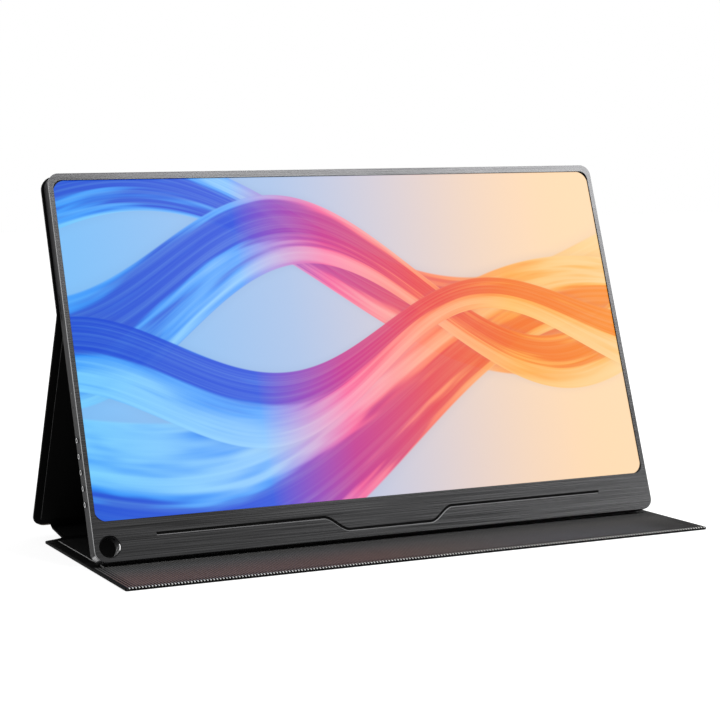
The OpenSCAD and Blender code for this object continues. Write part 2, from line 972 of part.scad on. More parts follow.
module flap_lining() {
    color("darkslategray")
        on_flap()
            panel_lining(cover_w, -fold_half - flap_len, -fold_half, flap_t, 0, 0);
}

module flap_magnets() {
    color("silver")
        on_flap()
            for (x = bar_xs)
                box(x - bar_l / 2, x + bar_l / 2, -flap_t / 2 + skin_t,
                    -flap_t / 2 + skin_t + bar_t - magnet_gap,
                    bar_v - bar_w / 2, bar_v + bar_w / 2);
}

// Roll of skin and lining along a fold line.
module fold_roll(y, z, w) {
    color("black")
        cross_rod(-w / 2, y, z, w, fold_r);
}

module upper_fold() { fold_roll(upper_fold_y, upper_fold_z, cover_w - 2 * skin_edge); }
module lower_fold() { fold_roll(lower_fold_y, lower_fold_z, spine_w); }
module flap_fold() { fold_roll(flap_fold_y, flap_fold_z, spine_w); }

front_frame();
rear_housing();
bonding_tape();
lcd_glass();
panel_flex();
diffuser_films();
light_guide();
reflector_sheet();
led_strip();
backlight_tray();
driver_board();
display_cable();
main_board();
board_shield();
board_chips();
usb_c_ports();
mini_video_port();
headphone_jack();
key_board();
key_switches();
key_ribbon();
status_lens();
key_1();
key_2();
key_3();
key_4();
key_5();
speaker_left();
speaker_right();
pen_hole_liner();
steel_plate();
housing_screws();
board_screws();
upper_skin();
upper_board();
upper_lining();
upper_magnets();
strut_skin();
strut_board();
strut_lining();
spine_skin();
spine_board();
spine_lining();
flap_skin();
flap_board();
flap_lining();
flap_magnets();
upper_fold();
lower_fold();
flap_fold();
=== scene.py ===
import json
import math

import bmesh
import bpy
from mathutils import Matrix, Vector


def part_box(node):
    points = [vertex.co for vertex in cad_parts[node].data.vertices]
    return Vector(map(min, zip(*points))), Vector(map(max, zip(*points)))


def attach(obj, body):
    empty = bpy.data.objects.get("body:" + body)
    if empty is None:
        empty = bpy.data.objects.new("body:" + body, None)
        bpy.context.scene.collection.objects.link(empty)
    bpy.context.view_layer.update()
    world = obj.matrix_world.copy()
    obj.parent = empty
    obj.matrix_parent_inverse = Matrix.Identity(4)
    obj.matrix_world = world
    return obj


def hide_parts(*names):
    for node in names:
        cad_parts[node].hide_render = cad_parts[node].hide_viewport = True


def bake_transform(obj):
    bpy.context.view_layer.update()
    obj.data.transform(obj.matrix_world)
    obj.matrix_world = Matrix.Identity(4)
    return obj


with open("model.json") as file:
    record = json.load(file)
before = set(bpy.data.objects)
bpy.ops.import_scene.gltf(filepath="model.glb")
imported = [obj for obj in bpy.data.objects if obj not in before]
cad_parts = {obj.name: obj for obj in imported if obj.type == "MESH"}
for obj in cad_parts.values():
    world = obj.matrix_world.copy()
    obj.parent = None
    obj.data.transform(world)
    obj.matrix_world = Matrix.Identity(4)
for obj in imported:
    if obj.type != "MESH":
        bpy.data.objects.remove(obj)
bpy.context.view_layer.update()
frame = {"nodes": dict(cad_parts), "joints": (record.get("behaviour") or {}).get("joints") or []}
scene = bpy.context.scene
MM = 0.001


# ---------- Camera ----------
# A long lens looks at the stand from its front left, a little above the table, and is
# tilted slightly down and to one side.
CAMERA_PLACE = (-0.4746, -1.0365, 0.2078)
CAMERA_HEADING = math.radians(-24.49)
CAMERA_TILT = math.radians(-5.32)
CAMERA_ROLL = math.radians(-0.99)

camera = bpy.data.objects.new("camera", bpy.data.cameras.new("camera"))
camera.data.sensor_width = 36
camera.data.lens = 98.52
camera.data.clip_start = 0.05
camera.data.clip_end = 50
camera.matrix_world = (
    Matrix.Translation(CAMERA_PLACE)
    @ Matrix.Rotation(CAMERA_HEADING, 4, "Z")
    @ Matrix.Rotation(math.pi / 2 + CAMERA_TILT, 4, "X")
    @ Matrix.Rotation(CAMERA_ROLL, 4, "Z")
)
scene.collection.objects.link(camera)
scene.camera = camera


# ---------- Front frame ----------
# One plate of brushed, dark anodised aluminium with a bright cut edge. It frames the
# picture, forms the chin with its milled line, and is screwed to the housing behind.
JOINTS = {joint["name"]: joint for joint in frame["joints"]}


def own_frame(y, z, turn):
    """Placement of a part's own frame: x along the width, y into the depth, z up along it."""
    return Matrix.Translation((0, y, z)) @ Matrix.Rotation(turn, 4, "X")


# The monitor leans back by the angle at which its release axis rises to the front
_, front_y, front_z = JOINTS["monitor_release"]["axis"]
LEAN = math.atan2(front_z, -front_y)
MONITOR_H = 220.1 * MM
MONITOR_T = 8.8 * MM
MONITOR_R = 6.5 * MM
FRAME_T = 1.0 * MM
frame_low, frame_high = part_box("front_frame")
MONITOR_HALF = frame_high.x
MONITOR = own_frame(frame_low.y, frame_high.z - MONITOR_H * math.cos(LEAN), -LEAN)


def rounded(x0, x1, z0, z1, radius, lower_radius=None, steps=8):
    """Anticlockwise outline of a rectangle with round corners, seen from the front."""
    low = radius if lower_radius is None else lower_radius
    corners = [(x1 - low, z0 + low, low, -90), (x1 - radius, z1 - radius, radius, 0),
               (x0 + radius, z1 - radius, radius, 90), (x0 + low, z0 + low, low, 180)]
    points = []
    for x, z, r, start in corners:
        turns = [math.radians(start + 90 * i / steps) for i in range(steps + 1)]
        points += [(x + r * math.cos(t), z + r * math.sin(t)) for t in turns]
    return points


def circle(x, z, r, steps=48):
    """Anticlockwise outline of a circle."""
    turns = [2 * math.pi * i / steps for i in range(steps)]
    return [(x + r * math.cos(t), z + r * math.sin(t)) for t in turns]


def inset_outline(points, inset):
    """The outline moved to its inner side, with its corners mitred."""
    moved = []
    corners = [Vector(point) for point in points]
    for before, here, after in zip(corners[-1:] + corners, corners, corners[1:] + corners):
        first, second = (here - before).normalized(), (after - here).normalized()
        side = Vector((-first.y - second.y, first.x + second.x))
        moved.append(here + side * (inset / (1 + first.dot(second))))
    return moved


def band(bm, near, far, slot=0):
    """Closed band of faces between two rings."""
    for i in range(len(near)):
        bm.faces.new((near[i - 1], near[i], far[i], far[i - 1])).material_index = slot


def walls(bm, outline, profile, slots, side=1):
    """Bands that follow an outline from depth to depth; returns the first and last ring."""
    rings = [[bm.verts.new((x, depth, z)) for x, z in inset_outline(outline, side * inset)]
             for inset, depth in profile]
    for near, far, slot in zip(rings, rings[1:], slots):
        band(bm, near, far, slot)
    return rings[0], rings[-1]


def cap(bm, *rings):
    """Flat face that fills the first ring and leaves the others open."""
    pairs = [(ring[i - 1], ring[i]) for ring in rings for i in range(len(ring))]
    edges = [bm.edges.get(pair) or bm.edges.new(pair) for pair in pairs]
    bmesh.ops.triangle_fill(bm, use_beauty=True, use_dissolve=False, edges=edges)


def closed(bm, outline, profile, slots):
    """Bands that follow an outline, with both ends filled."""
    for ring in walls(bm, outline, profile, slots):
        cap(bm, ring)


def shaped(bm, name, materials, sharp, place=Matrix()):
    """Turns the mesh into an object that is smooth but for its sharp edges."""
    bmesh.ops.recalc_face_normals(bm, faces=bm.faces)
    mesh = bpy.data.meshes.new(name)
    bm.to_mesh(mesh)
    bm.free()
    for material in materials:
        mesh.materials.append(material)
    for polygon in mesh.polygons:
        polygon.use_smooth = True
    mesh.set_sharp_from_angle(angle=math.radians(sharp))
    piece = bpy.data.objects.new(name, mesh)
    scene.collection.objects.link(piece)
    piece.matrix_world = place
    return piece


def finished(bm, name, place, body, materials, sharp=28, stands_for=None):
    """Puts the piece at its place, on its body, and in place of its CAD node."""
    piece = shaped(bm, name, materials, sharp, place)
    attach(piece, body)
    if stands_for:
        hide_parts(stands_for)
    return piece


def add_node(tree, kind, **inputs):
    """A shader node with its sockets set or linked by name; settings start with set_."""
    node = tree.nodes.new("ShaderNode" + kind)
    for name, value in inputs.items():
        if name.startswith("set_"):
            setattr(node, name[4:], value)
            continue
        socket = node.inputs[int(name[1:]) if name[1:].isdigit() else name.replace("_", " ")]
        if isinstance(value, bpy.types.NodeSocket):
            tree.links.new(value, socket)
        else:
            socket.default_value = value
    return node


def grey(tone):
    """A neutral colour."""
    return (tone, tone, tone)


def new_material(name, colour, roughness, **settings):
    """A principled material; returns it with its node tree and its shader."""
    material = bpy.data.materials.new(name)
    material.use_nodes = True
    tree = material.node_tree
    shader = tree.nodes["Principled BSDF"]
    shader.inputs["Base Color"].default_value = (*colour, 1)
    shader.inputs["Roughness"].default_value = roughness
    for socket, value in settings.items():
        shader.inputs[socket.replace("_", " ")].default_value = value
    return material, tree, shader


def surface_place(tree):
    """Each point of the surface in the piece's own frame."""
    return add_node(tree, "TexCoord").outputs["Object"]


def grain(tree, scale, stretch=(1, 1, 1), detail=3.0):
    """Noise over the surface, drawn out along the axes whose stretch is small."""
    placed = add_node(tree, "Mapping", Vector=surface_place(tree), Scale=stretch)
    noise = add_node(tree, "TexNoise", Vector=placed.outputs["Vector"], Scale=scale,
                     Detail=detail, Roughness=0.6)
    return noise.outputs["Fac"]


def spread_to(tree, value, low, high):
    """The value's useful middle part, spread from low to high."""
    mapped = add_node(tree, "MapRange", Value=value, From_Min=0.3, From_Max=0.7,
                      To_Min=low, To_Max=high)
    return mapped.outputs["Result"]


def mottled(tree, texture, second, share, low, high):
    """A texture with a share of a second one added to it, spread from low to high."""
    total = add_node(tree, "Math", set_operation="MULTIPLY_ADD", i0=second, i1=share, i2=texture)
    return spread_to(tree, total.outputs[0], low, high)


def blended(tree, factor, first, second):
    """The colour that runs from the first to the second, each a colour or a socket."""
    mix = add_node(tree, "Mix", set_data_type="RGBA", Factor=factor)
    ends = [socket for socket in mix.inputs if socket.type == "RGBA"]
    for socket, colour in zip(ends, (first, second)):
        if isinstance(colour, bpy.types.NodeSocket):
            tree.links.new(colour, socket)
        else:
            socket.default_value = (*colour, 1)
    return next(socket for socket in mix.outputs if socket.type == "RGBA")


def shade(tree, shader, factor, dark, light):
    """Lets the base colour run between two colours or sockets."""
    tree.links.new(blended(tree, factor, dark, light), shader.inputs["Base Color"])


def vary_gloss(tree, shader, texture, low, high):
    """Lets the roughness follow a texture."""
    tree.links.new(spread_to(tree, texture, low, high), shader.inputs["Roughness"])


def bump(tree, shader, height, distance):
    """Lets the surface rise and fall with a texture, by a real distance."""
    node = add_node(tree, "Bump", Height=height, Distance=distance, Strength=1.0)
    tree.links.new(node.outputs["Normal"], shader.inputs["Normal"])


def brushed_metal(name, dark, light, roughness):
    """Metal brushed along the width: long, thin streaks in colour, gloss and height."""
    material, tree, shader = new_material(name, light, roughness, Metallic=1.0)
    streaks = grain(tree, 1.0, stretch=(11, 60, 2300), detail=2.5)
    clouds = grain(tree, 9.0, stretch=(1, 1, 3), detail=2.0)
    shade(tree, shader, mottled(tree, streaks, clouds, 0.3, -0.2, 0.9), dark, light)
    vary_gloss(tree, shader, streaks, roughness - 0.07, roughness + 0.07)
    bump(tree, shader, streaks, 0.02 * MM)
    return material


def cut_metal(name, colour, roughness=0.25):
    """Bare metal left bright by a cutter, with the cutter's fine marks."""
    material, tree, shader = new_material(name, colour, roughness, Metallic=1.0)
    marks = grain(tree, 60.0, detail=2.0)
    vary_gloss(tree, shader, marks, roughness - 0.03, roughness + 0.03)
    shade(tree, shader, marks, [c * 0.9 for c in colour], colour)
    return material


EDGE_CUT = 0.2 * MM
SIDE_BEZEL = 2.9 * MM
TOP_BEZEL = 4.1 * MM
CHIN_H = 22.4 * MM
SCREEN_R = 5.0 * MM
PICTURE_HALF = MONITOR_HALF - SIDE_BEZEL
PICTURE_TOP = MONITOR_H - TOP_BEZEL
PEN_X = -MONITOR_HALF + 8.9 * MM
PEN_Z = 8.4 * MM
PEN_RIM_R = 5.85 * MM
LINE_HALF = 139.3 * MM
LINE_HIGH = 13.1 * MM
LINE_LOW = 5.1 * MM
LINE_FLAT = 25.5 * MM
LINE_SLOPE = 15.0 * MM
LINE_W = 1.9 * MM
LINE_DEPTH = 0.4 * MM
LINE_BEVEL = 0.27
BOSS_R = 1.8 * MM
BOSS_END = 7.75 * MM
SCREW_Z = 4.6 * MM
BACK_BREAK = 0.12 * MM
SCREW_XS = [(i - 2) * 70.0 * MM for i in range(5)]

frame_metal = brushed_metal("brushed_frame", (0.0104, 0.0104, 0.0106), (0.027, 0.027, 0.0276),
                            roughness=0.255)
bright_edge = cut_metal("bright_cut_edge", (0.24, 0.24, 0.245))
pale_bevel = cut_metal("line_bevel", (0.24, 0.24, 0.245), roughness=0.4)


def line_paint():
    """Matt black paint, a little uneven, in the line's floor and on the inner cut walls."""
    material, tree, shader = new_material("line_paint", grey(0.003), roughness=0.8,
                                          Specular_IOR_Level=0.02)
    shade(tree, shader, grain(tree, 700.0), grey(0.0005), grey(0.003))
    return material


dark_cut = line_paint()


def line_height(x):
    """Height of the milled line's middle at x: low in the centre, with an easy slope each side."""
    t = min(1, max(0, (abs(x) - LINE_FLAT) / LINE_SLOPE))
    return LINE_LOW + (LINE_HIGH - LINE_LOW) * t * t * (3 - 2 * t)


def milled_line(bm):
    """Groove with an upright upper wall and a sloping lower one; returns its rim."""
    steps = 24
    slope = [LINE_FLAT + LINE_SLOPE * i / steps for i in range(steps + 1)]
    xs = [-LINE_HALF] + [-x for x in reversed(slope)] + slope + [LINE_HALF]
    stations = []
    for x in xs:
        slant = (line_height(x + 0.01 * MM) - line_height(x - 0.01 * MM)) / (0.02 * MM)
        half = LINE_W / 2 * math.hypot(1, slant)
        top, foot = line_height(x) + half, line_height(x) - half
        ledge = foot + (top - foot) * LINE_BEVEL
        places = [(top, 0), (top, LINE_DEPTH), (ledge, LINE_DEPTH), (foot, 0)]
        stations.append([bm.verts.new((x, depth, z)) for z, depth in places])
    for left, right in zip(stations, stations[1:]):
        for i in range(3):
            face = bm.faces.new((left[i], left[i + 1], right[i + 1], right[i]))
            face.material_index = 3 if i == 2 else 2
    for station in (stations[0], stations[-1]):
        bm.faces.new(station).material_index = 2
    return [s[0] for s in stations] + [s[3] for s in reversed(stations)]


def front_frame():
    """The frame's plate, its screw bosses, and the holes and line cut into it."""
    bm = bmesh.new()
    outline = rounded(-MONITOR_HALF, MONITOR_HALF, 0, MONITOR_H, MONITOR_R, steps=12)
    opening = rounded(-PICTURE_HALF, PICTURE_HALF, CHIN_H, PICTURE_TOP, SCREEN_R, steps=12)
    pen = circle(PEN_X, PEN_Z, PEN_RIM_R)
    edge = [(EDGE_CUT, 0), (0, EDGE_CUT), (0, FRAME_T - BACK_BREAK), (BACK_BREAK, FRAME_T)]
    outer = walls(bm, outline, edge, [1, 0, 0])
    inner = walls(bm, opening, [(0.1 * MM, 0), (0, 0.1 * MM), (0, FRAME_T)], [0, 0], side=-1)
    hole = walls(bm, pen, [(0.3 * MM, 0), (0, 0.3 * MM), (0, FRAME_T)], [0, 2], side=-1)
    cap(bm, outer[0], inner[0], hole[0], milled_line(bm))
    cap(bm, outer[1], inner[1], hole[1])
    for x in SCREW_XS:
        closed(bm, circle(x, SCREW_Z, BOSS_R, 24), [(0, FRAME_T), (0, BOSS_END)], [0])
    metals = [frame_metal, bright_edge, dark_cut, pale_bevel]
    return finished(bm, "front_frame_plate", MONITOR, "monitor", metals, sharp=18,
                    stands_for="front_frame")


front_frame()


# ---------- Rear housing ----------
# A thin tub of blasted, dark anodised aluminium that holds everything behind the frame.
# Its sides are pierced for keys, sound, light and plugs, and its edges are softened.
# A highlight is painted pale on the lower corners of its sides.
def softened(node, width):
    """Rounds the sharp edges of a CAD node without touching its mesh."""
    weld = node.modifiers.new("weld", "WELD")
    weld.merge_threshold = 0.002 * MM
    flatten = node.modifiers.new("flatten", "DECIMATE")
    flatten.decimate_type = "DISSOLVE"
    flatten.angle_limit = math.radians(0.5)
    rounding = node.modifiers.new("rounding", "BEVEL")
    rounding.width = width
    rounding.segments = 2
    rounding.limit_method = "ANGLE"
    rounding.angle_limit = math.radians(40)
    rounding.use_clamp_overlap = True
    rounding.harden_normals = True


def dressed(names, material, width=0.0):
    """Gives CAD nodes their material, and soft edges where a width is given."""
    for name in names:
        node = frame["nodes"][name]
        node.data.materials.clear()
        node.data.materials.append(material)
        if width:
            softened(node, width)


def added_node(operation, *fixed):
    """A method of Field that adds one math node, with its fixed numbers before the others."""
    def method(field, *others):
        values = [field.socket, *fixed] + [getattr(other, "socket", other) for other in others]
        inputs = {f"i{i}": value for i, value in enumerate(values)}
        node = add_node(field.tree, "Math", set_operation=operation, **inputs)
        return Field(field.tree, node.outputs[0])
    return method


class Field:
    """A number that varies over a surface; arithmetic on it adds math nodes."""

    def __init__(self, tree, socket):
        self.tree = tree
        self.socket = socket

    __add__ = added_node("ADD")
    __sub__ = added_node("SUBTRACT")
    __rsub__ = added_node("MULTIPLY_ADD", -1.0)
    __mul__ = added_node("MULTIPLY")
    __truediv__ = added_node("DIVIDE")
    wave = added_node("SINE")
    size = added_node("ABSOLUTE")
    power = added_node("POWER")
    highest = added_node("MAXIMUM")

    def step(self, low, high):
        """0 below low and 1 above high, easy between them."""
        node = add_node(self.tree, "MapRange", set_interpolation_type="SMOOTHSTEP",
                        Value=self.socket, From_Min=low, From_Max=high)
        return Field(self.tree, node.outputs["Result"])


# The painted highlight on the lower corners: from and to which height, how softly it ends, how
# wide and deep
FOOT_SHINE = (1.4 * MM, 4.7 * MM)
SHINE_FADE = 0.7 * MM
SHINE_WIDTH = 4.5 * MM
SHINE_BACK = 8.1 * MM
FOOT_GLINT_COLOUR = (0.75, 0.75, 0.755)


def painted_foot_glint(tree):
    """Where a highlight is painted on the two lower corners of the sides, as a number from 0 to 1.
    """
    place = surface_place(tree)
    fields = []
    for *axis, offset in MONITOR.inverted()[:3]:
        along = add_node(tree, "VectorMath", set_operation="DOT_PRODUCT", i0=place, i1=axis)
        fields.append(Field(tree, along.outputs["Value"]) + offset)
    across, depth, height = fields
    low, high = FOOT_SHINE
    inner = MONITOR_HALF - SHINE_WIDTH
    rise = height.step(low, low + SHINE_FADE) * (1.0 - height.step(high - SHINE_FADE, high))
    side = across.size().step(inner, inner + 1.0 * MM)
    return (rise * side * (1.0 - depth.step(SHINE_BACK - 0.4 * MM, SHINE_BACK))).socket


def blasted_metal(name, dark, light, roughness):
    """Anodised metal with the fine grain of bead blasting; the dye takes most of its shine."""
    material, tree, shader = new_material(name, light, roughness, Metallic=0.06,
                                          Specular_IOR_Level=0.015)
    fine = grain(tree, 2500.0, detail=2.0)
    clouds = grain(tree, 14.0)
    colour = blended(tree, mottled(tree, fine, clouds, 0.5, 0.0, 1.0), dark, light)
    # Painted highlight: the lower corners of the sides turn pale where a glint falls
    shade(tree, shader, painted_foot_glint(tree), colour, FOOT_GLINT_COLOUR)
    vary_gloss(tree, shader, fine, roughness - 0.06, roughness + 0.06)
    bump(tree, shader, fine, 0.015 * MM)
    return material


housing_metal = blasted_metal("blasted_housing", (0.026, 0.026, 0.0267), (0.05, 0.05, 0.0515),
                              roughness=0.4)
dressed(["rear_housing"], housing_metal, width=0.2 * MM)


# ---------- Screen ----------
# A glass panel with a satin front film, held on the frame by black tape. Its lit picture
# is a made-up wallpaper of silky ribbons, and a black mask rounds the picture's corners.
GLASS_DEPTH = 1.1 * MM
GLASS_T = 1.0 * MM
GLASS_HALF = PICTURE_HALF + 0.9 * MM
GLASS_FOOT = CHIN_H - 4.2 * MM
GLASS_TOP = PICTURE_TOP + 1.4 * MM
MASK_R = 7.2 * MM
# The mask's straight sides lie this far outside the picture, so that only corners show
MASK_OUT = 0.1 * MM
# Ribbon colours from the picture's left to its right, as (place, shadow, body, light)
RIBBON_COLOURS = [
    (0.00, (0.00, 0.06, 0.64), (0.00, 0.25, 0.96), (0.25, 0.75, 1.00)),
    (0.30, (0.02, 0.08, 0.72), (0.06, 0.33, 0.98), (0.42, 0.74, 1.00)),
    (0.46, (0.56, 0.02, 0.27), (0.93, 0.08, 0.30), (1.00, 0.42, 0.56)),
    (0.62, (0.80, 0.05, 0.07), (1.00, 0.19, 0.10), (1.00, 0.52, 0.33)),
    (0.80, (0.90, 0.16, 0.01), (1.00, 0.36, 0.04), (1.00, 0.64, 0.22)),
    (1.00, (0.95, 0.27, 0.02), (1.00, 0.50, 0.10), (1.00, 0.76, 0.42)),
]
SKY_COLOURS = [
    (0.00, (0.17, 0.52, 0.96)), (0.38, (0.42, 0.56, 0.82)), (0.62, (0.72, 0.62, 0.64)),
    (0.85, (1.00, 0.70, 0.44)), (1.00, (1.00, 0.72, 0.45)),
]
# Each ribbon: middle height, rise across, wave height, waves across, phase, half width,
# width wave, fold count, seed
RIBBONS = [
    (0.74, -0.30, 0.16, 0.9, 0.10, 0.15, 0.06, 5.0, 3.0),
    (0.30, 0.34, 0.17, 0.8, 0.55, 0.17, 0.07, 6.0, 11.0),
    (0.62, -0.12, 0.20, 1.1, 0.80, 0.12, 0.05, 4.0, 23.0),
    (0.44, 0.16, 0.13, 1.3, 0.30, 0.09, 0.04, 3.5, 37.0),
]


def surface_axes(tree):
    """Each point of the surface in the piece's own frame, as three fields."""
    parts = add_node(tree, "SeparateXYZ", Vector=surface_place(tree))
    return [Field(tree, parts.outputs[axis]) for axis in "XYZ"]


def colour_along(tree, place, stops, blend="B_SPLINE"):
    """A colour ramp read at a place from 0 to 1."""
    ramp = add_node(tree, "ValToRGB", Fac=place.socket)
    ramp.color_ramp.interpolation = blend
    for i, (at, colour) in enumerate(stops):
        stop = ramp.color_ramp.elements[i] if i < 2 else ramp.color_ramp.elements.new(at)
        stop.position = at
        stop.color = (*colour, 1)
    return ramp.outputs["Color"]


def folds(tree, across, along, count, seed):
    """Soft pleats that follow a ribbon, as a number from 0 to 1."""
    where = add_node(tree, "CombineXYZ", X=along.socket, Y=across.socket, Z=seed)
    noise = add_node(tree, "TexNoise", Vector=where.outputs["Vector"], Scale=1.0,
                     Detail=3.0, Roughness=0.55, Distortion=0.25)
    return Field(tree, noise.outputs["Fac"]) * count


def picture_colour(tree, u, w):
    """The wallpaper: a soft sky with silky ribbons that overlap."""
    colour = colour_along(tree, u, SKY_COLOURS)
    tones = [colour_along(tree, u, [(stop[0], stop[tone]) for stop in RIBBON_COLOURS], "LINEAR")
             for tone in (1, 2, 3)]
    for middle, rise, height, waves, phase, half, swell, count, seed in RIBBONS:
        turn = (u * waves + phase) * (2 * math.pi)
        centre = (u - 0.5) * rise + middle + turn.wave() * height
        width = (turn * 0.7 + seed).wave() * swell + half
        across = (w - centre) / width
        inside = (1.0 - across.size()).step(0.0, 0.05)
        under = (1.25 - across.size()).step(0.0, 0.5)
        pleats = folds(tree, across * 1.6, u * 2.2, count, seed) * 2.0 + across * 2.5
        pleats = pleats.wave() * 0.5 + 0.5
        sheen = folds(tree, across * 9.0, u * 1.4, 1.0, seed + 5.0).step(0.35, 0.75)
        body = blended(tree, pleats.step(0.1, 0.6).socket, tones[0], tones[1])
        body = blended(tree, (pleats.power(3.0) * 0.65 + sheen * 0.15).socket, body, tones[2])
        colour = blended(tree, (under * 0.12).socket, colour, (0.1, 0.15, 0.35))
        colour = blended(tree, (inside * 0.94).socket, colour, body)
    return colour


def picture_material():
    """Glowing picture inside a black mask with round corners."""
    material, tree, shader = new_material("screen_picture", grey(0.0), roughness=0.45,
                                          Specular_IOR_Level=0.05, Emission_Strength=1.0)
    x, _, z = surface_axes(tree)
    half_h = (PICTURE_TOP - CHIN_H) / 2
    u = x / (2 * PICTURE_HALF) + 0.5
    w = (z - CHIN_H) / (2 * half_h)
    out_x = (x.size() - (PICTURE_HALF + MASK_OUT - MASK_R)).highest(0.0)
    out_z = ((z - (CHIN_H + half_h)).size() - (half_h + MASK_OUT - MASK_R)).highest(0.0)
    beyond = (out_x * out_x + out_z * out_z).power(0.5)
    inside = ((MASK_R - beyond) * 1000).step(-0.05, 0.05)
    colour = blended(tree, inside.socket, grey(0.002), picture_colour(tree, u, w))
    tree.links.new(colour, shader.inputs["Emission Color"])
    return material


def ground_glass():
    """The dark edge of two thin sheets of glass, ground fine."""
    material, tree, shader = new_material("ground_glass", (0.02, 0.03, 0.03), roughness=0.2)
    marks = grain(tree, 900.0, stretch=(1, 8, 1))
    shade(tree, shader, marks, (0.012, 0.018, 0.018), (0.05, 0.07, 0.07))
    vary_gloss(tree, shader, marks, 0.12, 0.35)
    return material


def glass_panel():
    """The two sheets of glass as one panel with eased edges."""
    bm = bmesh.new()
    outline = rounded(-GLASS_HALF, GLASS_HALF, GLASS_FOOT, GLASS_TOP, 5.2 * MM, 0.3 * MM)
    back, ease = GLASS_DEPTH + GLASS_T, 0.1 * MM
    profile = [(ease, GLASS_DEPTH), (0, GLASS_DEPTH + ease), (0, back - ease), (ease, back)]
    closed(bm, outline, profile, [1, 1, 1])
    return finished(bm, "screen_panel", MONITOR, "monitor", [picture_material(), ground_glass()],
                    stands_for="lcd_glass")


glass_panel()


# ---------- Tape, films and light guide ----------
# Thin sheets stacked behind the glass, and the black foam tape that bonds it to the frame.
# They lie in a stamped steel tray, which a row of diodes lights from its lower edge.
DIODE_PITCH = 5.2 * MM
ACRYLIC_IOR = 1.49


def coated(name, dark, light, roughness=0.55, fine=1800.0, height=0.012, stretch=(1, 1, 1),
           **settings):
    """Plastic, film or paint: a fine texture in height and gloss, and a slow drift of tone."""
    material, tree, shader = new_material(name, light, roughness, **settings)
    texture = grain(tree, fine, stretch=stretch)
    drift = grain(tree, 22.0, detail=2.0)
    shade(tree, shader, mottled(tree, drift, texture, 0.5, -0.2, 0.8), dark, light)
    vary_gloss(tree, shader, texture, roughness - 0.07, roughness + 0.07)
    bump(tree, shader, texture, height * MM)
    return material


def diode_tape():
    """White tape with a yellow diode every few millimetres."""
    material, tree, shader = new_material("diode_tape", grey(0.9), roughness=0.4)
    across, _, _ = surface_axes(tree)
    beat = (across * (2 * math.pi / DIODE_PITCH)).wave().step(0.1, 0.2)
    shade(tree, shader, beat.socket, (0.85, 0.86, 0.88), (0.95, 0.72, 0.12))
    bump(tree, shader, beat.socket, 0.1 * MM)
    return material


tray_steel = brushed_metal("tray_steel", (0.42, 0.42, 0.43), (0.66, 0.66, 0.67), 0.32)
dressed(["bonding_tape"], coated("foam_tape", grey(0.006), grey(0.02), 0.75, 2600.0, 0.03))
dressed(["diffuser_films"], coated("milky_film", (0.84, 0.85, 0.88), (0.93, 0.94, 0.96), 0.4))
dressed(["light_guide"], coated("guide_acrylic", (0.8, 0.88, 0.9), (0.9, 0.96, 0.98), 0.12,
                                IOR=ACRYLIC_IOR))
dressed(["reflector_sheet"], coated("white_sheet", grey(0.86), grey(0.95), 0.5))
dressed(["led_strip"], diode_tape())
dressed(["backlight_tray", "steel_plate"], tray_steel, width=0.06 * MM)


# ---------- Circuit boards and cables ----------
# Green boards with tinned tracks, black chips and a stamped shield. Amber ribbons and a
# black taped cable join them, and four small screws hold the main board on its posts.
def printed_board():
    """Green coating over copper tracks that run in steps, with small tinned pads."""
    material, tree, shader = new_material("printed_board", (0.01, 0.1, 0.05), roughness=0.32)
    place = surface_place(tree)
    flat = add_node(tree, "Mapping", Vector=place, Rotation=(math.pi / 2, 0, 0))
    tracks = add_node(tree, "TexBrick", Vector=flat.outputs["Vector"], Scale=240.0,
                      Mortar_Size=0.05, Brick_Width=1.7, Row_Height=0.35).outputs["Fac"]
    cells = add_node(tree, "TexVoronoi", Vector=place, Scale=420.0).outputs["Distance"]
    tinned = (0.22 - Field(tree, cells)).step(0.0, 0.03).socket
    green = blended(tree, tracks, (0.006, 0.085, 0.04), (0.02, 0.19, 0.09))
    shade(tree, shader, tinned, green, (0.7, 0.68, 0.6))
    tree.links.new(tinned, shader.inputs["Metallic"])
    bump(tree, shader, tracks, 0.04 * MM)
    return material


black_epoxy = coated("black_epoxy", grey(0.012), grey(0.035), 0.5, 3000.0)
amber_film = coated("amber_film", (0.42, 0.2, 0.03), (0.62, 0.33, 0.07), 0.25, 500.0,
                    stretch=(1, 1, 12))
dressed(["driver_board", "main_board", "key_board"], printed_board())
dressed(["board_chips", "key_switches"], black_epoxy, width=0.08 * MM)
dressed(["board_shield"], tray_steel, width=0.1 * MM)
dressed(["panel_flex", "key_ribbon"], amber_film)
dressed(["display_cable"], coated("taped_cable", (0.02, 0.02, 0.022), (0.06, 0.06, 0.065), 0.45,
                                  900.0, stretch=(0.1, 1, 1)))
dressed(["board_screws"], cut_metal("small_screw_steel", grey(0.6)), width=0.05 * MM)


# ---------- Keys and pinholes ----------
# Five turned keys on the left side, each with a polished rim, a flange that keeps it in
# the housing, and a tail that pushes its switch. A light pipe fills the upper pinhole.
KEY_DEPTH = 5.85 * MM
KEY_FOOT = 33.1 * MM
KEY_PITCH = 8.9 * MM
KEY_OUT = 0.5 * MM
KEY_FLANGE = 1.4 * MM
# In millimetres, as (depth, radius): a key's head from its face, and its flange and tail
# from where the flange meets the housing
KEY_HEAD = [(0.12, 0.6), (0.05, 1.0), (0.0, 1.2), (0.06, 1.4), (0.2, 1.5)]
KEY_TAIL = [(0.0, 1.5), (0.0, 1.85), (0.6, 1.85), (0.6, 0.8), (1.5, 0.8)]


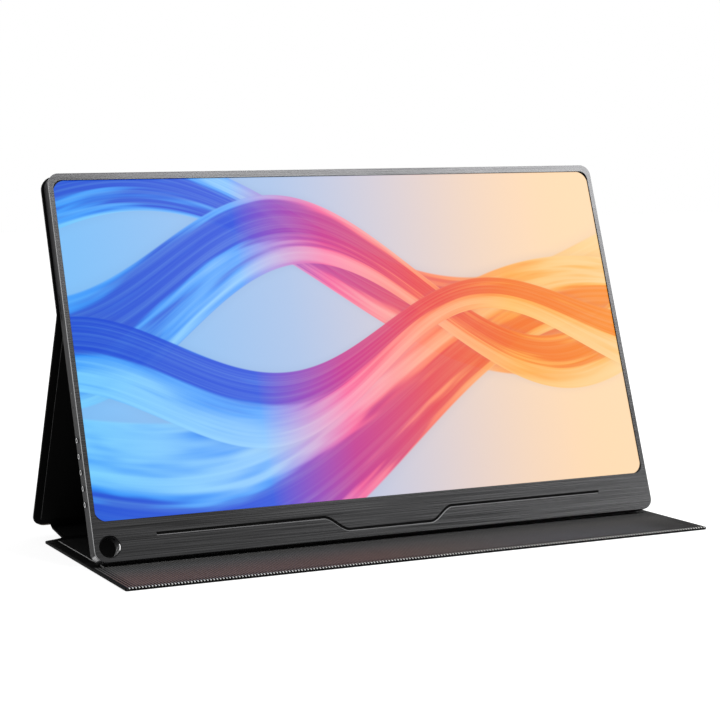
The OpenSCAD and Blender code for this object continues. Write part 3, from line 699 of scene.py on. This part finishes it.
def side_key(number):
    """One key, turned about a line along X; its ends are closed and its rim is polished."""
    face, flange = -MONITOR_HALF - KEY_OUT, -MONITOR_HALF + KEY_FLANGE
    profile = [(face + x * MM, r * MM) for x, r in KEY_HEAD]
    profile += [(flange + x * MM, r * MM) for x, r in KEY_TAIL]
    middle = KEY_FOOT + (number - 1) * KEY_PITCH
    bm = bmesh.new()
    rings = [[bm.verts.new((x, depth, z)) for depth, z in circle(KEY_DEPTH, middle, r, 36)]
             for x, r in profile]
    for i, (near, far) in enumerate(zip(rings, rings[1:])):
        band(bm, near, far, 1 if i in (1, 2) else 0)
    for ring in (rings[0], rings[-1]):
        bm.faces.new(ring)
    piece = finished(bm, f"side_key_{number}", MONITOR, f"key_{number}", [key_face, key_rim],
                     stands_for=f"key_{number}")


key_face = coated("key_face", grey(0.002), (0.006, 0.006, 0.0065), 0.5, 2600.0,
                  Specular_IOR_Level=0.03)
key_rim = cut_metal("key_rim", (0.8, 0.8, 0.81), roughness=0.2)
for number in range(1, 6):
    side_key(number)
dressed(["status_lens"], coated("light_pipe", (0.75, 0.82, 0.86), (0.9, 0.95, 0.98), 0.15, 700.0,
                                IOR=ACRYLIC_IOR, Transmission_Weight=0.6))


# ---------- Ports, jack and speakers ----------
# Drawn steel shells and a moulded jack stand behind the openings on the right side. A
# moulded speaker box sits behind the three slots on each side.
shell_steel = brushed_metal("shell_steel", (0.34, 0.34, 0.35), (0.58, 0.58, 0.59), 0.28)
dressed(["usb_c_ports", "mini_video_port"], shell_steel, width=0.05 * MM)
jack_plastic = coated("jack_plastic", grey(0.01), grey(0.03), 0.45, 2200.0)
dressed(["headphone_jack"], jack_plastic, width=0.08 * MM)
speaker_plastic = coated("speaker_plastic", grey(0.008), (0.025, 0.025, 0.027), 0.6, 1500.0, 0.03)
dressed(["speaker_left", "speaker_right"], speaker_plastic, width=0.15 * MM)


# ---------- Pen hole liner ----------
# A moulded ring through the lower left corner. The edges of a small sprung catch stand a
# little out of its wall; their near-white colour is a painted highlight.
LINER_R = 6.3 * MM
LINER_HOLE_R = 5.6 * MM
CATCH_R = (5.87 * MM, 5.46 * MM)
# Corners of the catch on the hole's wall, as (turn in degrees, depth)
CATCH_CORNERS = [(-50.0, 6.4 * MM), (-20.0, 0.5 * MM), (10.0, 0.6 * MM), (-14.0, 7.4 * MM)]
CATCH_RIMS = (0.75 * MM, 0.26 * MM, 0.3 * MM)


def pen_liner():
    """The ring itself: a tube whose two rims are eased."""
    bm = bmesh.new()
    ease = 0.2 * MM
    profile = [(LINER_HOLE_R + ease, FRAME_T), (LINER_HOLE_R, FRAME_T + ease),
               (LINER_HOLE_R, MONITOR_T - ease), (LINER_HOLE_R + ease, MONITOR_T),
               (LINER_R, MONITOR_T), (LINER_R, FRAME_T)]
    rings = [[bm.verts.new((x, depth, z)) for x, z in circle(PEN_X, PEN_Z, r, 72)]
             for r, depth in profile]
    for near, far in zip(rings, rings[1:] + rings[:1]):
        band(bm, near, far)
    return finished(bm, "pen_liner", MONITOR, "monitor", [liner_plastic],
                    stands_for="pen_hole_liner")


def catch_rims():
    """The edges of the catch, near white as a painted highlight: three thin strips that follow the
    hole's wall.
    """
    bm = bmesh.new()
    steps = 8
    outer, inner = CATCH_R
    section = [(outer, -1), (inner, -0.8), (inner, 0.8), (outer, 1)]
    for start, end, width in zip(CATCH_CORNERS, CATCH_CORNERS[1:], CATCH_RIMS):
        run, rise = math.radians(end[0] - start[0]), end[1] - start[1]
        length = math.hypot(run * inner, rise)
        off_turn, off_depth = -rise / length * width / 2 / inner, run * inner / length * width / 2
        rows = []
        for i in range(steps + 1):
            turn, depth = math.radians(start[0]) + run * i / steps, start[1] + rise * i / steps
            rows.append([bm.verts.new((PEN_X + r * math.cos(turn + side * off_turn),
                                       depth + side * off_depth,
                                       PEN_Z + r * math.sin(turn + side * off_turn)))
                         for r, side in section])
        for here, there in zip(rows, rows[1:]):
            band(bm, here, there)
        bm.faces.new(rows[0])
        bm.faces.new(rows[-1])
    return finished(bm, "pen_catch", MONITOR, "monitor", [catch_highlight])


liner_plastic = coated("liner_plastic", grey(0.004), (0.015, 0.015, 0.016), 0.45, 1300.0,
                       stretch=(1, 0.2, 1), Specular_IOR_Level=0.2)
# Painted highlight: near-white strips along the catch's edges
catch_highlight = coated("catch_highlight", grey(0.8), grey(0.95), 0.3, 1300.0)
pen_liner()
catch_rims()


# ---------- Housing screws ----------
# Five turned steel screws, blackened, with a crossed recess in their heads. They go
# through the back of the housing into the bosses of the frame.
SCREW_HEAD_R = 1.4 * MM
SCREW_HEAD_T = 0.5 * MM
SCREW_SHANK_R = 0.8 * MM
SCREW_END = 2.2 * MM
RECESS_REACH = 0.8 * MM
RECESS_HALF = 0.18 * MM
RECESS_DEPTH = 0.35 * MM


def cross(x, z, reach, half):
    """Anticlockwise outline of an upright cross."""
    quarter = [(reach, -half), (reach, half), (half, half)]
    points = []
    for c, s in ((1, 0), (0, 1), (-1, 0), (0, -1)):
        points += [(x + c * a - s * b, z + s * a + c * b) for a, b in quarter]
    return points


def housing_screws():
    """Heads with their recess, and the shanks below them."""
    bm = bmesh.new()
    head = MONITOR_T - SCREW_HEAD_T
    for x in SCREW_XS:
        rim = walls(bm, circle(x, SCREW_Z, SCREW_HEAD_R, 32),
                    [(0, head), (0, MONITOR_T - 0.1 * MM), (0.12 * MM, MONITOR_T)], [0, 0])
        recess = walls(bm, cross(x, SCREW_Z, RECESS_REACH, RECESS_HALF),
                       [(0, MONITOR_T), (0, MONITOR_T - RECESS_DEPTH)], [0], side=-1)
        cap(bm, rim[1], recess[0])
        cap(bm, recess[1])
        shank = walls(bm, circle(x, SCREW_Z, SCREW_SHANK_R, 20), [(0, SCREW_END), (0, head)], [0])
        cap(bm, shank[0])
        cap(bm, rim[0], shank[1])
    return finished(bm, "housing_screw_set", MONITOR, "monitor", [screw_steel],
                    stands_for="housing_screws")


screw_steel = coated("screw_steel", grey(0.02), grey(0.06), 0.35, 1600.0, Metallic=1.0)
housing_screws()


# ---------- Cover boards and magnets ----------
# Pressed fibre boards stiffen the four panels of the cover. Disc magnets in the back panel
# and bar magnets in the flap hold the monitor, and lie in cut-outs of their boards.
fibre_board = coated("fibre_board", (0.16, 0.13, 0.1), (0.3, 0.26, 0.21), 0.85, 500.0, 0.08,
                     stretch=(1, 1, 0.2))
nickel = coated("nickel_plate", (0.6, 0.58, 0.54), (0.78, 0.76, 0.72), 0.22, 900.0, Metallic=1.0)
dressed(["upper_board", "strut_board", "spine_board", "flap_board"], fibre_board)
dressed(["upper_magnets", "flap_magnets"], nickel, width=0.1 * MM)


# ---------- Cover skins ----------
# Coated cloth is drawn round each board and its edge is turned in to the lined side. The
# corners of the back panel follow the monitor's, and the prop panel's lower ones are round.
COVER_HALF = 176.3 * MM
STRUT_LEN = 147.3 * MM
SPINE_LEN = 26.6 * MM
SPINE_HALF = 164.3 * MM
FLAP_LEN = 151.3 * MM
FOLD_HALF = 2.0 * MM
FLAP_FRONT = -FOLD_HALF - FLAP_LEN
STRUT_FOOT = -STRUT_LEN + FOLD_HALF
HEM_W = 6.5 * MM
NECK = 1.5 * MM
FOLD_CORNER_R = 0.5 * MM
NECK_INSET = 10.5 * MM
HEM_SUNK = 0.14 * MM
UPPER_FOLD = Vector(JOINTS["upper_hinge"]["pos_m"])
LOWER_FOLD = Vector(JOINTS["stand_fold"]["pos_m"])
FLAP_FOLD = Vector(JOINTS["flap_hinge"]["pos_m"])
# Each panel's thickness and turn, and the fold that it is placed from
THICK = {"upper": 2.6 * MM, "strut": 2.2 * MM, "spine": 1.6 * MM, "flap": 1.8 * MM}
TURN = {
    "upper": -LEAN,
    "strut": math.atan2(LOWER_FOLD.y - UPPER_FOLD.y, UPPER_FOLD.z - LOWER_FOLD.z),
    "spine": -math.atan2(LOWER_FOLD.y - FLAP_FOLD.y, LOWER_FOLD.z - FLAP_FOLD.z),
    "flap": -math.pi / 2,
}
FOLD_OF = {"upper": UPPER_FOLD, "strut": UPPER_FOLD, "spine": FLAP_FOLD, "flap": FLAP_FOLD}
PLACE = {body: own_frame(fold.y, fold.z, TURN[body]) for body, fold in FOLD_OF.items()}
BACK_TOP = MONITOR @ Vector((0, MONITOR_T, MONITOR_H))
UPPER_END = (PLACE["upper"].inverted() @ BACK_TOP).z + 1.3 * MM


def coated_cloth(name, dark, light, gloss):
    """Black coated cloth: a pebbled grain over a fine weave, rubbed a little paler in places."""
    material, tree, shader = new_material(name, light, roughness=0.6, Specular_IOR_Level=gloss)
    cells = add_node(tree, "TexVoronoi", set_feature="SMOOTH_F1", Vector=surface_place(tree),
                     Scale=1300.0, Smoothness=0.6).outputs["Distance"]
    wear = grain(tree, 35.0, detail=4.0)
    shade(tree, shader, mottled(tree, wear, cells, 0.5, 0.0, 1.0), dark, light)
    vary_gloss(tree, shader, wear, 0.5, 0.66)
    bump(tree, shader, cells, 0.06 * MM)
    return material


def drawn_over(bm, half, foot, top, lower_r, upper_r, profile):
    """Rings round a panel, from (inset, depth) pairs; the last one is filled."""
    rings = []
    for inset, depth in profile:
        lower, upper = (max(radius - inset, 0.05 * MM) for radius in (lower_r, upper_r))
        outline = rounded(-half + inset, half - inset, foot + inset, top - inset, upper, lower, 7)
        rings.append([bm.verts.new((x, depth, z)) for x, z in outline])
    for near, far in zip(rings, rings[1:]):
        band(bm, near, far, 1)
    bm.faces.new(rings[-1])


def panel_skin(body, half, foot, top, lower_r, upper_r):
    """Skin of one panel: outer face, round edge and the turned-in hem under the lining."""
    bm = bmesh.new()
    inner, outer, ease = -THICK[body] / 2 + HEM_SUNK, THICK[body] / 2, 0.45 * MM
    turn = [math.radians(a) for a in (0, 22, 45, 67, 90)]
    profile = [(HEM_W, inner + 0.04 * MM), (HEM_W - 0.3 * MM, inner)]
    profile += [(ease * (1 - math.sin(t)), inner + ease * (1 - math.cos(t))) for t in turn]
    profile += [(ease * (1 - math.cos(t)), outer - ease * (1 - math.sin(t))) for t in turn]
    drawn_over(bm, half, foot, top, lower_r, upper_r, profile)
    piece = finished(bm, f"{body}_cover", PLACE[body], body, [skin_cloth, turned_cloth], sharp=40,
                     stands_for=f"{body}_skin")


skin_cloth = coated_cloth("coated_cloth", (0.006, 0.006, 0.0065), (0.018, 0.018, 0.019), 0.14)
turned_cloth = coated_cloth("turned_cloth", grey(0.001), grey(0.004), 0.02)
panel_skin("upper", COVER_HALF, FOLD_HALF, UPPER_END, FOLD_CORNER_R, 7.8 * MM)
panel_skin("strut", COVER_HALF, STRUT_FOOT + NECK, -FOLD_HALF, 5.2 * MM, FOLD_CORNER_R)
panel_skin("spine", SPINE_HALF, FOLD_HALF, SPINE_LEN - FOLD_HALF, FOLD_CORNER_R, FOLD_CORNER_R)
panel_skin("flap", COVER_HALF, FLAP_FRONT + 0.3 * MM, -FOLD_HALF, 1.2 * MM, 0.6 * MM)


# ---------- Cover linings ----------
# Dark grey microfibre, bonded to the boards. The front part of the flap is ribbed, and
# its ribs run forward and round the front edge. All side edges are pressed smooth.
# Painted shade makes the linings that face into the stand near black, darkens the flap
# towards the monitor, and fills the ribs' valleys and the front edge between their tips.
# Painted highlight colours those tips and a line along the rear left edge of the flap.
RIB_PITCH = 1.76 * MM
RIB_RISE = 0.18 * MM
# One rib, as (share of the pitch, share of the height)
RIB_SHAPE = ((0.2, 0.2), (0.3, 0.85), (0.5, 1.0), (0.7, 0.85), (0.8, 0.2), (1.0, 0.0))
# Tone of the flap's lining from its left to its right, as (place, colour)
FLAP_TONES = [
    (0.00, (0.072, 0.042, 0.037)), (0.42, (0.067, 0.042, 0.036)), (0.56, (0.053, 0.046, 0.042)),
    (0.72, (0.043, 0.046, 0.055)), (0.90, (0.042, 0.044, 0.049)), (0.94, (0.013, 0.013, 0.014)),
    (1.00, grey(0.011)),
]
BACK_TONE = (0.041, 0.0405, 0.0405)
# Height of a sheet without ribs, as a share of a rib's
SMOOTH_LEVEL = 0.45
LINING_INSET = 2.3 * MM


def pile_and_drift(tree):
    """The pile, brushed along the panel's width, and its slow drift of tone."""
    return grain(tree, 1.0, stretch=(2600, 900, 900)), grain(tree, 16.0)


def microfibre(name, dark, light, **settings):
    """Soft dark pile."""
    material, tree, shader = new_material(name, light, roughness=0.8, **settings)
    pile, drift = pile_and_drift(tree)
    shade(tree, shader, mottled(tree, pile, drift, 0.4, 0.0, 1.0), dark, light)
    bump(tree, shader, pile, 0.03 * MM)
    return material


def flap_pile(name, share):
    """The flap's pile: warm at its front left, cool at its right, greyer at its back, with painted
    shade towards the monitor.
    """
    material, tree, shader = new_material(name, grey(0.05), roughness=0.75, Sheen_Weight=0.03,
                                          Sheen_Roughness=0.4, Specular_IOR_Level=0.1)
    x, _, z = surface_axes(tree)
    tone = colour_along(tree, x / (2 * COVER_HALF) + 0.5, FLAP_TONES)
    pile, drift = pile_and_drift(tree)
    back = z.step(FLAP_FRONT + 12 * MM, REST_LINE - 10 * MM)
    tone = blended(tree, back.socket, tone, BACK_TONE)
    gaps = mottled(tree, pile, drift, 0.4, 1.2 - share, 0.9 - share)
    colour = blended(tree, gaps, tone, grey(0.002))
    # Painted shade: the pile darkens towards where the monitor rests
    monitor_shade = z.step(REST_LINE - 22 * MM, REST_LINE - 4 * MM) * 0.5
    shade(tree, shader, monitor_shade.socket, colour, grey(0.008))
    bump(tree, shader, pile, 0.03 * MM)
    return material


def lining(name, body, half, path, materials, ribbed=False, tips=range(0), edge=0.45 * MM):
    """Sheet swept along a path of (depth, z, normal) points; its ribs stand along the normals.

    The materials are the pile, the side edges, and where there are more: the ribs' tips
    over the front edge, the valleys and the whole front edge. On a smooth sheet the third
    one is the right edge."""
    bm = bmesh.new()
    count = round(2 * (half - edge) / RIB_PITCH)
    pitch = 2 * (half - edge) / count
    level = 0.0 if ribbed else SMOOTH_LEVEL
    lip = edge * 0.3
    columns = [(-half, level, 1.0, 1), (-half + lip, level, 0.0, 1), (-half + edge, level, 0.0, 0)]
    for i in range(count if ribbed else 0):
        start = -half + edge + i * pitch
        for share, rise in RIB_SHAPE:
            columns.append((start + share * pitch, rise, 0.0, 0))
    if ribbed:
        columns.pop()
    columns += [(half - edge, level, 0.0, 1), (half - lip, level, 0.0, 1), (half, level, 1.0, 1)]
    grid = []
    for x, rise, drop, _ in columns:
        line = []
        for depth, z, (normal_y, normal_z) in path:
            lift = (rise - 1.0) * RIB_RISE - drop * HEM_SUNK
            line.append(bm.verts.new((x, depth + lift * normal_y, z + lift * normal_z)))
        grid.append(line)
    for i, (left, right) in enumerate(zip(grid, grid[1:])):
        height = min(columns[i][1], columns[i + 1][1])
        for k in range(len(path) - 1):
            face = bm.faces.new((left[k], left[k + 1], right[k + 1], right[k]))
            if columns[i][3] and columns[i + 1][3] and i != 2:
                face.material_index = 1 if i < 2 or len(materials) != 3 else 2
            # Painted highlight on the ribs' tips over the front edge; painted shade on the rest of
            # that edge and in the valleys
            elif k in tips and height > 0.8:
                face.material_index = 2
            elif tips and k >= tips.start:
                face.material_index = 4
            elif ribbed and height < 0.5:
                face.material_index = 3
    piece = finished(bm, name, PLACE[body], body, materials, sharp=75,
                     stands_for=f"{body}_lining")


def level_path(body, foot, top):
    """Straight path up a panel's inner face, eased into the hem at both ends."""
    face, up = -THICK[body] / 2, (-1.0, 0.0)
    run = top - foot - 0.3 * MM
    inner = [(face, foot + 0.15 * MM + run * i / 6, up) for i in range(7)]
    return [(face + HEM_SUNK, foot, up), (face + 0.03 * MM, foot + 0.05 * MM, up), *inner,
            (face + 0.03 * MM, top - 0.05 * MM, up), (face + HEM_SUNK, top, up)]


def flap_path():
    """From under the monitor forward along the flap's upper face and round its front edge."""
    face, rear, ease, up = -THICK["flap"] / 2, REST_LINE, 0.7 * MM, (-1.0, 0.0)
    path = [(face + HEM_SUNK, rear, up), (face, rear - 0.15 * MM, up)]
    flat = FLAP_FRONT + ease + 0.9 * MM
    path += [(face, rear + (flat - rear) * i / 8, up) for i in range(1, 9)]
    path.append((face, FLAP_FRONT + ease, up))
    for angle in (25, 50, 75, 90):
        c, s = math.cos(math.radians(angle)), math.sin(math.radians(angle))
        path.append((face + ease * (1 - c), FLAP_FRONT + ease * (1 - s), (-c, -s)))
    path.append((0.35 * MM, FLAP_FRONT, (0.0, -1.0)))
    return path


REST_LINE = (PLACE["flap"].inverted() @ (MONITOR @ Vector((0, MONITOR_T / 2, 0)))).z
# Painted shade: the flap's microfibre made near black for the linings that face into the stand
lining_cloth = microfibre("lining_cloth", grey(0.002), grey(0.006), Specular_IOR_Level=0.04)
flap_cloth = flap_pile("flap_cloth", 0.95)
# Painted shade: a darker copy of the flap's pile, for the valleys between the ribs
rib_valley_shade = flap_pile("rib_valley_shade", 0.5)
dull_press = coated("dull_pressed_edge", grey(0.1), grey(0.16), 0.5, 1500.0, 0.01)
dark_press = coated("pressed_edge", grey(0.01), grey(0.03), 0.5, 1500.0, 0.01)
# Painted highlight: a pale line along the left edge of the flap's rear lining
rear_edge_highlight = coated("pale_edge_highlight", grey(0.8), grey(0.95), 0.3, 1500.0, 0.01)
# Painted shade: near black on the front edge between the ribs' tips
front_edge_shade = coated("rib_edge", grey(0.001), grey(0.004), 0.8, 2600.0, Specular_IOR_Level=0.02)
# Painted highlight: the ribs' tips are coloured pale where they turn over the front edge
rib_tip_highlight = coated("rib_tip_highlight", (0.17, 0.17, 0.165), (0.3, 0.3, 0.29), 0.5, 2600.0)
lining("upper_lining_sheet", "upper", COVER_HALF - LINING_INSET,
       level_path("upper", FOLD_HALF + LINING_INSET, UPPER_END - 4.0 * MM),
       [lining_cloth, dark_press])
lining("strut_lining_sheet", "strut", COVER_HALF - 4.2 * MM,
       level_path("strut", STRUT_FOOT + 5.0 * MM, -FOLD_HALF - LINING_INSET),
       [lining_cloth, dull_press], edge=1.2 * MM)
lining("spine_lining_sheet", "spine", SPINE_HALF - LINING_INSET,
       level_path("spine", FOLD_HALF + LINING_INSET, SPINE_LEN - FOLD_HALF - LINING_INSET),
       [lining_cloth, dark_press])
lining("flap_rear_lining", "flap", COVER_HALF - 6.5 * MM,
       level_path("flap", REST_LINE + 0.3 * MM, -FOLD_HALF - LINING_INSET),
       [lining_cloth, rear_edge_highlight, dark_press], edge=1.5 * MM)
lining("flap_ribbed_lining", "flap", COVER_HALF - 0.7 * MM, flap_path(),
       [flap_cloth, dark_press, rib_tip_highlight, rib_valley_shade, front_edge_shade], ribbed=True, tips=range(9, 13))


# ---------- Folds of the cover ----------
# Skin and lining run on past the boards and meet in a soft web at each fold. The web is
# creased in its middle.
WEB_TUCK = 0.7 * MM
WEB_THIN = 0.12 * MM
# Where a web's curve is pulled to, as a share of its reach, and the thickness left there
WEB_PULL = 0.25
WEB_WAIST = 0.62


def edge_of(fold, body, reach, thick, side):
    """Point on a panel's outer (side 1) or inner (-1) face, at a reach from the fold."""
    return own_frame(fold.y, fold.z, TURN[body]) @ Vector((0, side * thick / 2, reach))


def bent(start, near, far, end, steps):
    """Points on a smooth curve that leaves start towards near and reaches end from far."""
    return [start * (1 - t) ** 3 + near * 3 * t * (1 - t) ** 2 + far * 3 * t * t * (1 - t)
            + end * t ** 3 for t in (i / steps for i in range(steps + 1))]


def fold_web(name, fold, first, second, node, steps=12):
    """Web between two panels, each (body, reach from the fold, half width)."""
    bm = bmesh.new()
    faces = []
    for side in (1, -1):
        ends = []
        for body, reach, _ in (first, second):
            thin = THICK[body] - 2 * WEB_THIN
            tuck = math.copysign(WEB_TUCK, reach)
            ends.append([edge_of(fold, body, reach + tuck, thin, side),
                         edge_of(fold, body, reach * WEB_PULL, thin * WEB_WAIST, side)])
        faces.append(bent(ends[0][0], ends[0][1], ends[1][1], ends[1][0], steps))
    loop = faces[0] + faces[1][::-1]
    share = [i / steps for i in range(steps + 1)]
    share += share[::-1]
    stations = []
    for s in [i / 8 - 1 for i in range(17)]:
        ring = []
        for t, point in zip(share, loop):
            half = first[2] + (second[2] - first[2]) * (1 - math.cos(t * math.pi / 2))
            ring.append(bm.verts.new((s * half, point.y, point.z)))
        stations.append(ring)
    for near, far in zip(stations, stations[1:]):
        band(bm, near, far)
    for ring in (stations[0], stations[-1]):
        for k in range(steps):
            bm.faces.new((ring[k], ring[k + 1], ring[-2 - k], ring[-1 - k]))
    web = shaped(bm, name, [turned_cloth], sharp=50)
    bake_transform(web)
    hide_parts(node)


fold_web("upper_fold_web", UPPER_FOLD, ("strut", -FOLD_HALF, COVER_HALF),
         ("upper", FOLD_HALF, COVER_HALF), "upper_fold")
fold_web("lower_fold_web", LOWER_FOLD, ("spine", -FOLD_HALF, SPINE_HALF),
         ("strut", FOLD_HALF + NECK, COVER_HALF - NECK_INSET), "lower_fold")
fold_web("flap_fold_web", FLAP_FOLD, ("flap", -FOLD_HALF, COVER_HALF - 0.6 * MM),
         ("spine", FOLD_HALF, SPINE_HALF), "flap_fold")


# ---------- Floor and light ----------
# A plain white floor and background. A wide soft lamp hangs high at the front and a second
# lower at the right. A weak one at the left runs along the cut edges, and a small one low
# at the right front brightens the chin.

# Each lamp: name, place, width and height, power
LAMPS = [
    ("high_lamp", (1.05, -1.66, 2.1), (0.96, 0.64), 75.0),
    ("right_lamp", (1.62, -1.6, 1.73), (0.74, 0.81), 56.0),
    ("side_lamp", (-2.3, -0.5, 0.95), (0.8, 1.2), 4.0),
    ("low_lamp", (1.83, -2.03, 0.68), (0.6, 0.5), 17.0),
]
LAMP_TARGET = Vector((0, 0, 0.1))
FLOOR_GLOW = 0.88
WORLD_LIGHT = 0.44


def seen_directly(tree):
    """1 for rays that show a background: from the camera, or by reflection or through glass."""
    rays = add_node(tree, "LightPath").outputs
    seen = Field(tree, rays["Is Camera Ray"]).highest(rays["Is Glossy Ray"])
    return seen.highest(rays["Is Transmission Ray"])


def pale_floor():
    """Flat white floor that still takes the object's soft shadow."""
    material, tree, shader = new_material("white_floor", grey(0.3), roughness=0.9,
                                          Specular_IOR_Level=0.1, Emission_Color=(1, 1, 1, 1))
    tree.links.new((seen_directly(tree) * FLOOR_GLOW).socket, shader.inputs["Emission Strength"])
    bm = bmesh.new()
    bmesh.ops.create_grid(bm, x_segments=8, y_segments=8, size=7)
    place = Matrix.Translation((0, 0, -0.2 * MM))
    shaped(bm, "floor", [material], sharp=30, place=place)


def soft_lamp(name, place, size, power):
    """Rectangular soft lamp that faces the object."""
    lamp = bpy.data.objects.new(name, bpy.data.lights.new(name, "AREA"))
    lamp.data.shape = "RECTANGLE"
    lamp.data.size, lamp.data.size_y = size
    lamp.data.energy = power
    lamp.location = place
    lamp.rotation_euler = (LAMP_TARGET - Vector(place)).to_track_quat("-Z", "Y").to_euler()
    scene.collection.objects.link(lamp)


pale_floor()
for lamp_facts in LAMPS:
    soft_lamp(*lamp_facts)

world = bpy.data.worlds.new("studio")
world.use_nodes = True
scene.world = world
backdrop = world.node_tree.nodes["Background"]
backdrop.inputs["Color"].default_value = (1, 1, 1, 1)
strength = seen_directly(world.node_tree) * (1.0 - WORLD_LIGHT) + WORLD_LIGHT
world.node_tree.links.new(strength.socket, backdrop.inputs["Strength"])
scene.view_settings.view_transform = "Standard"
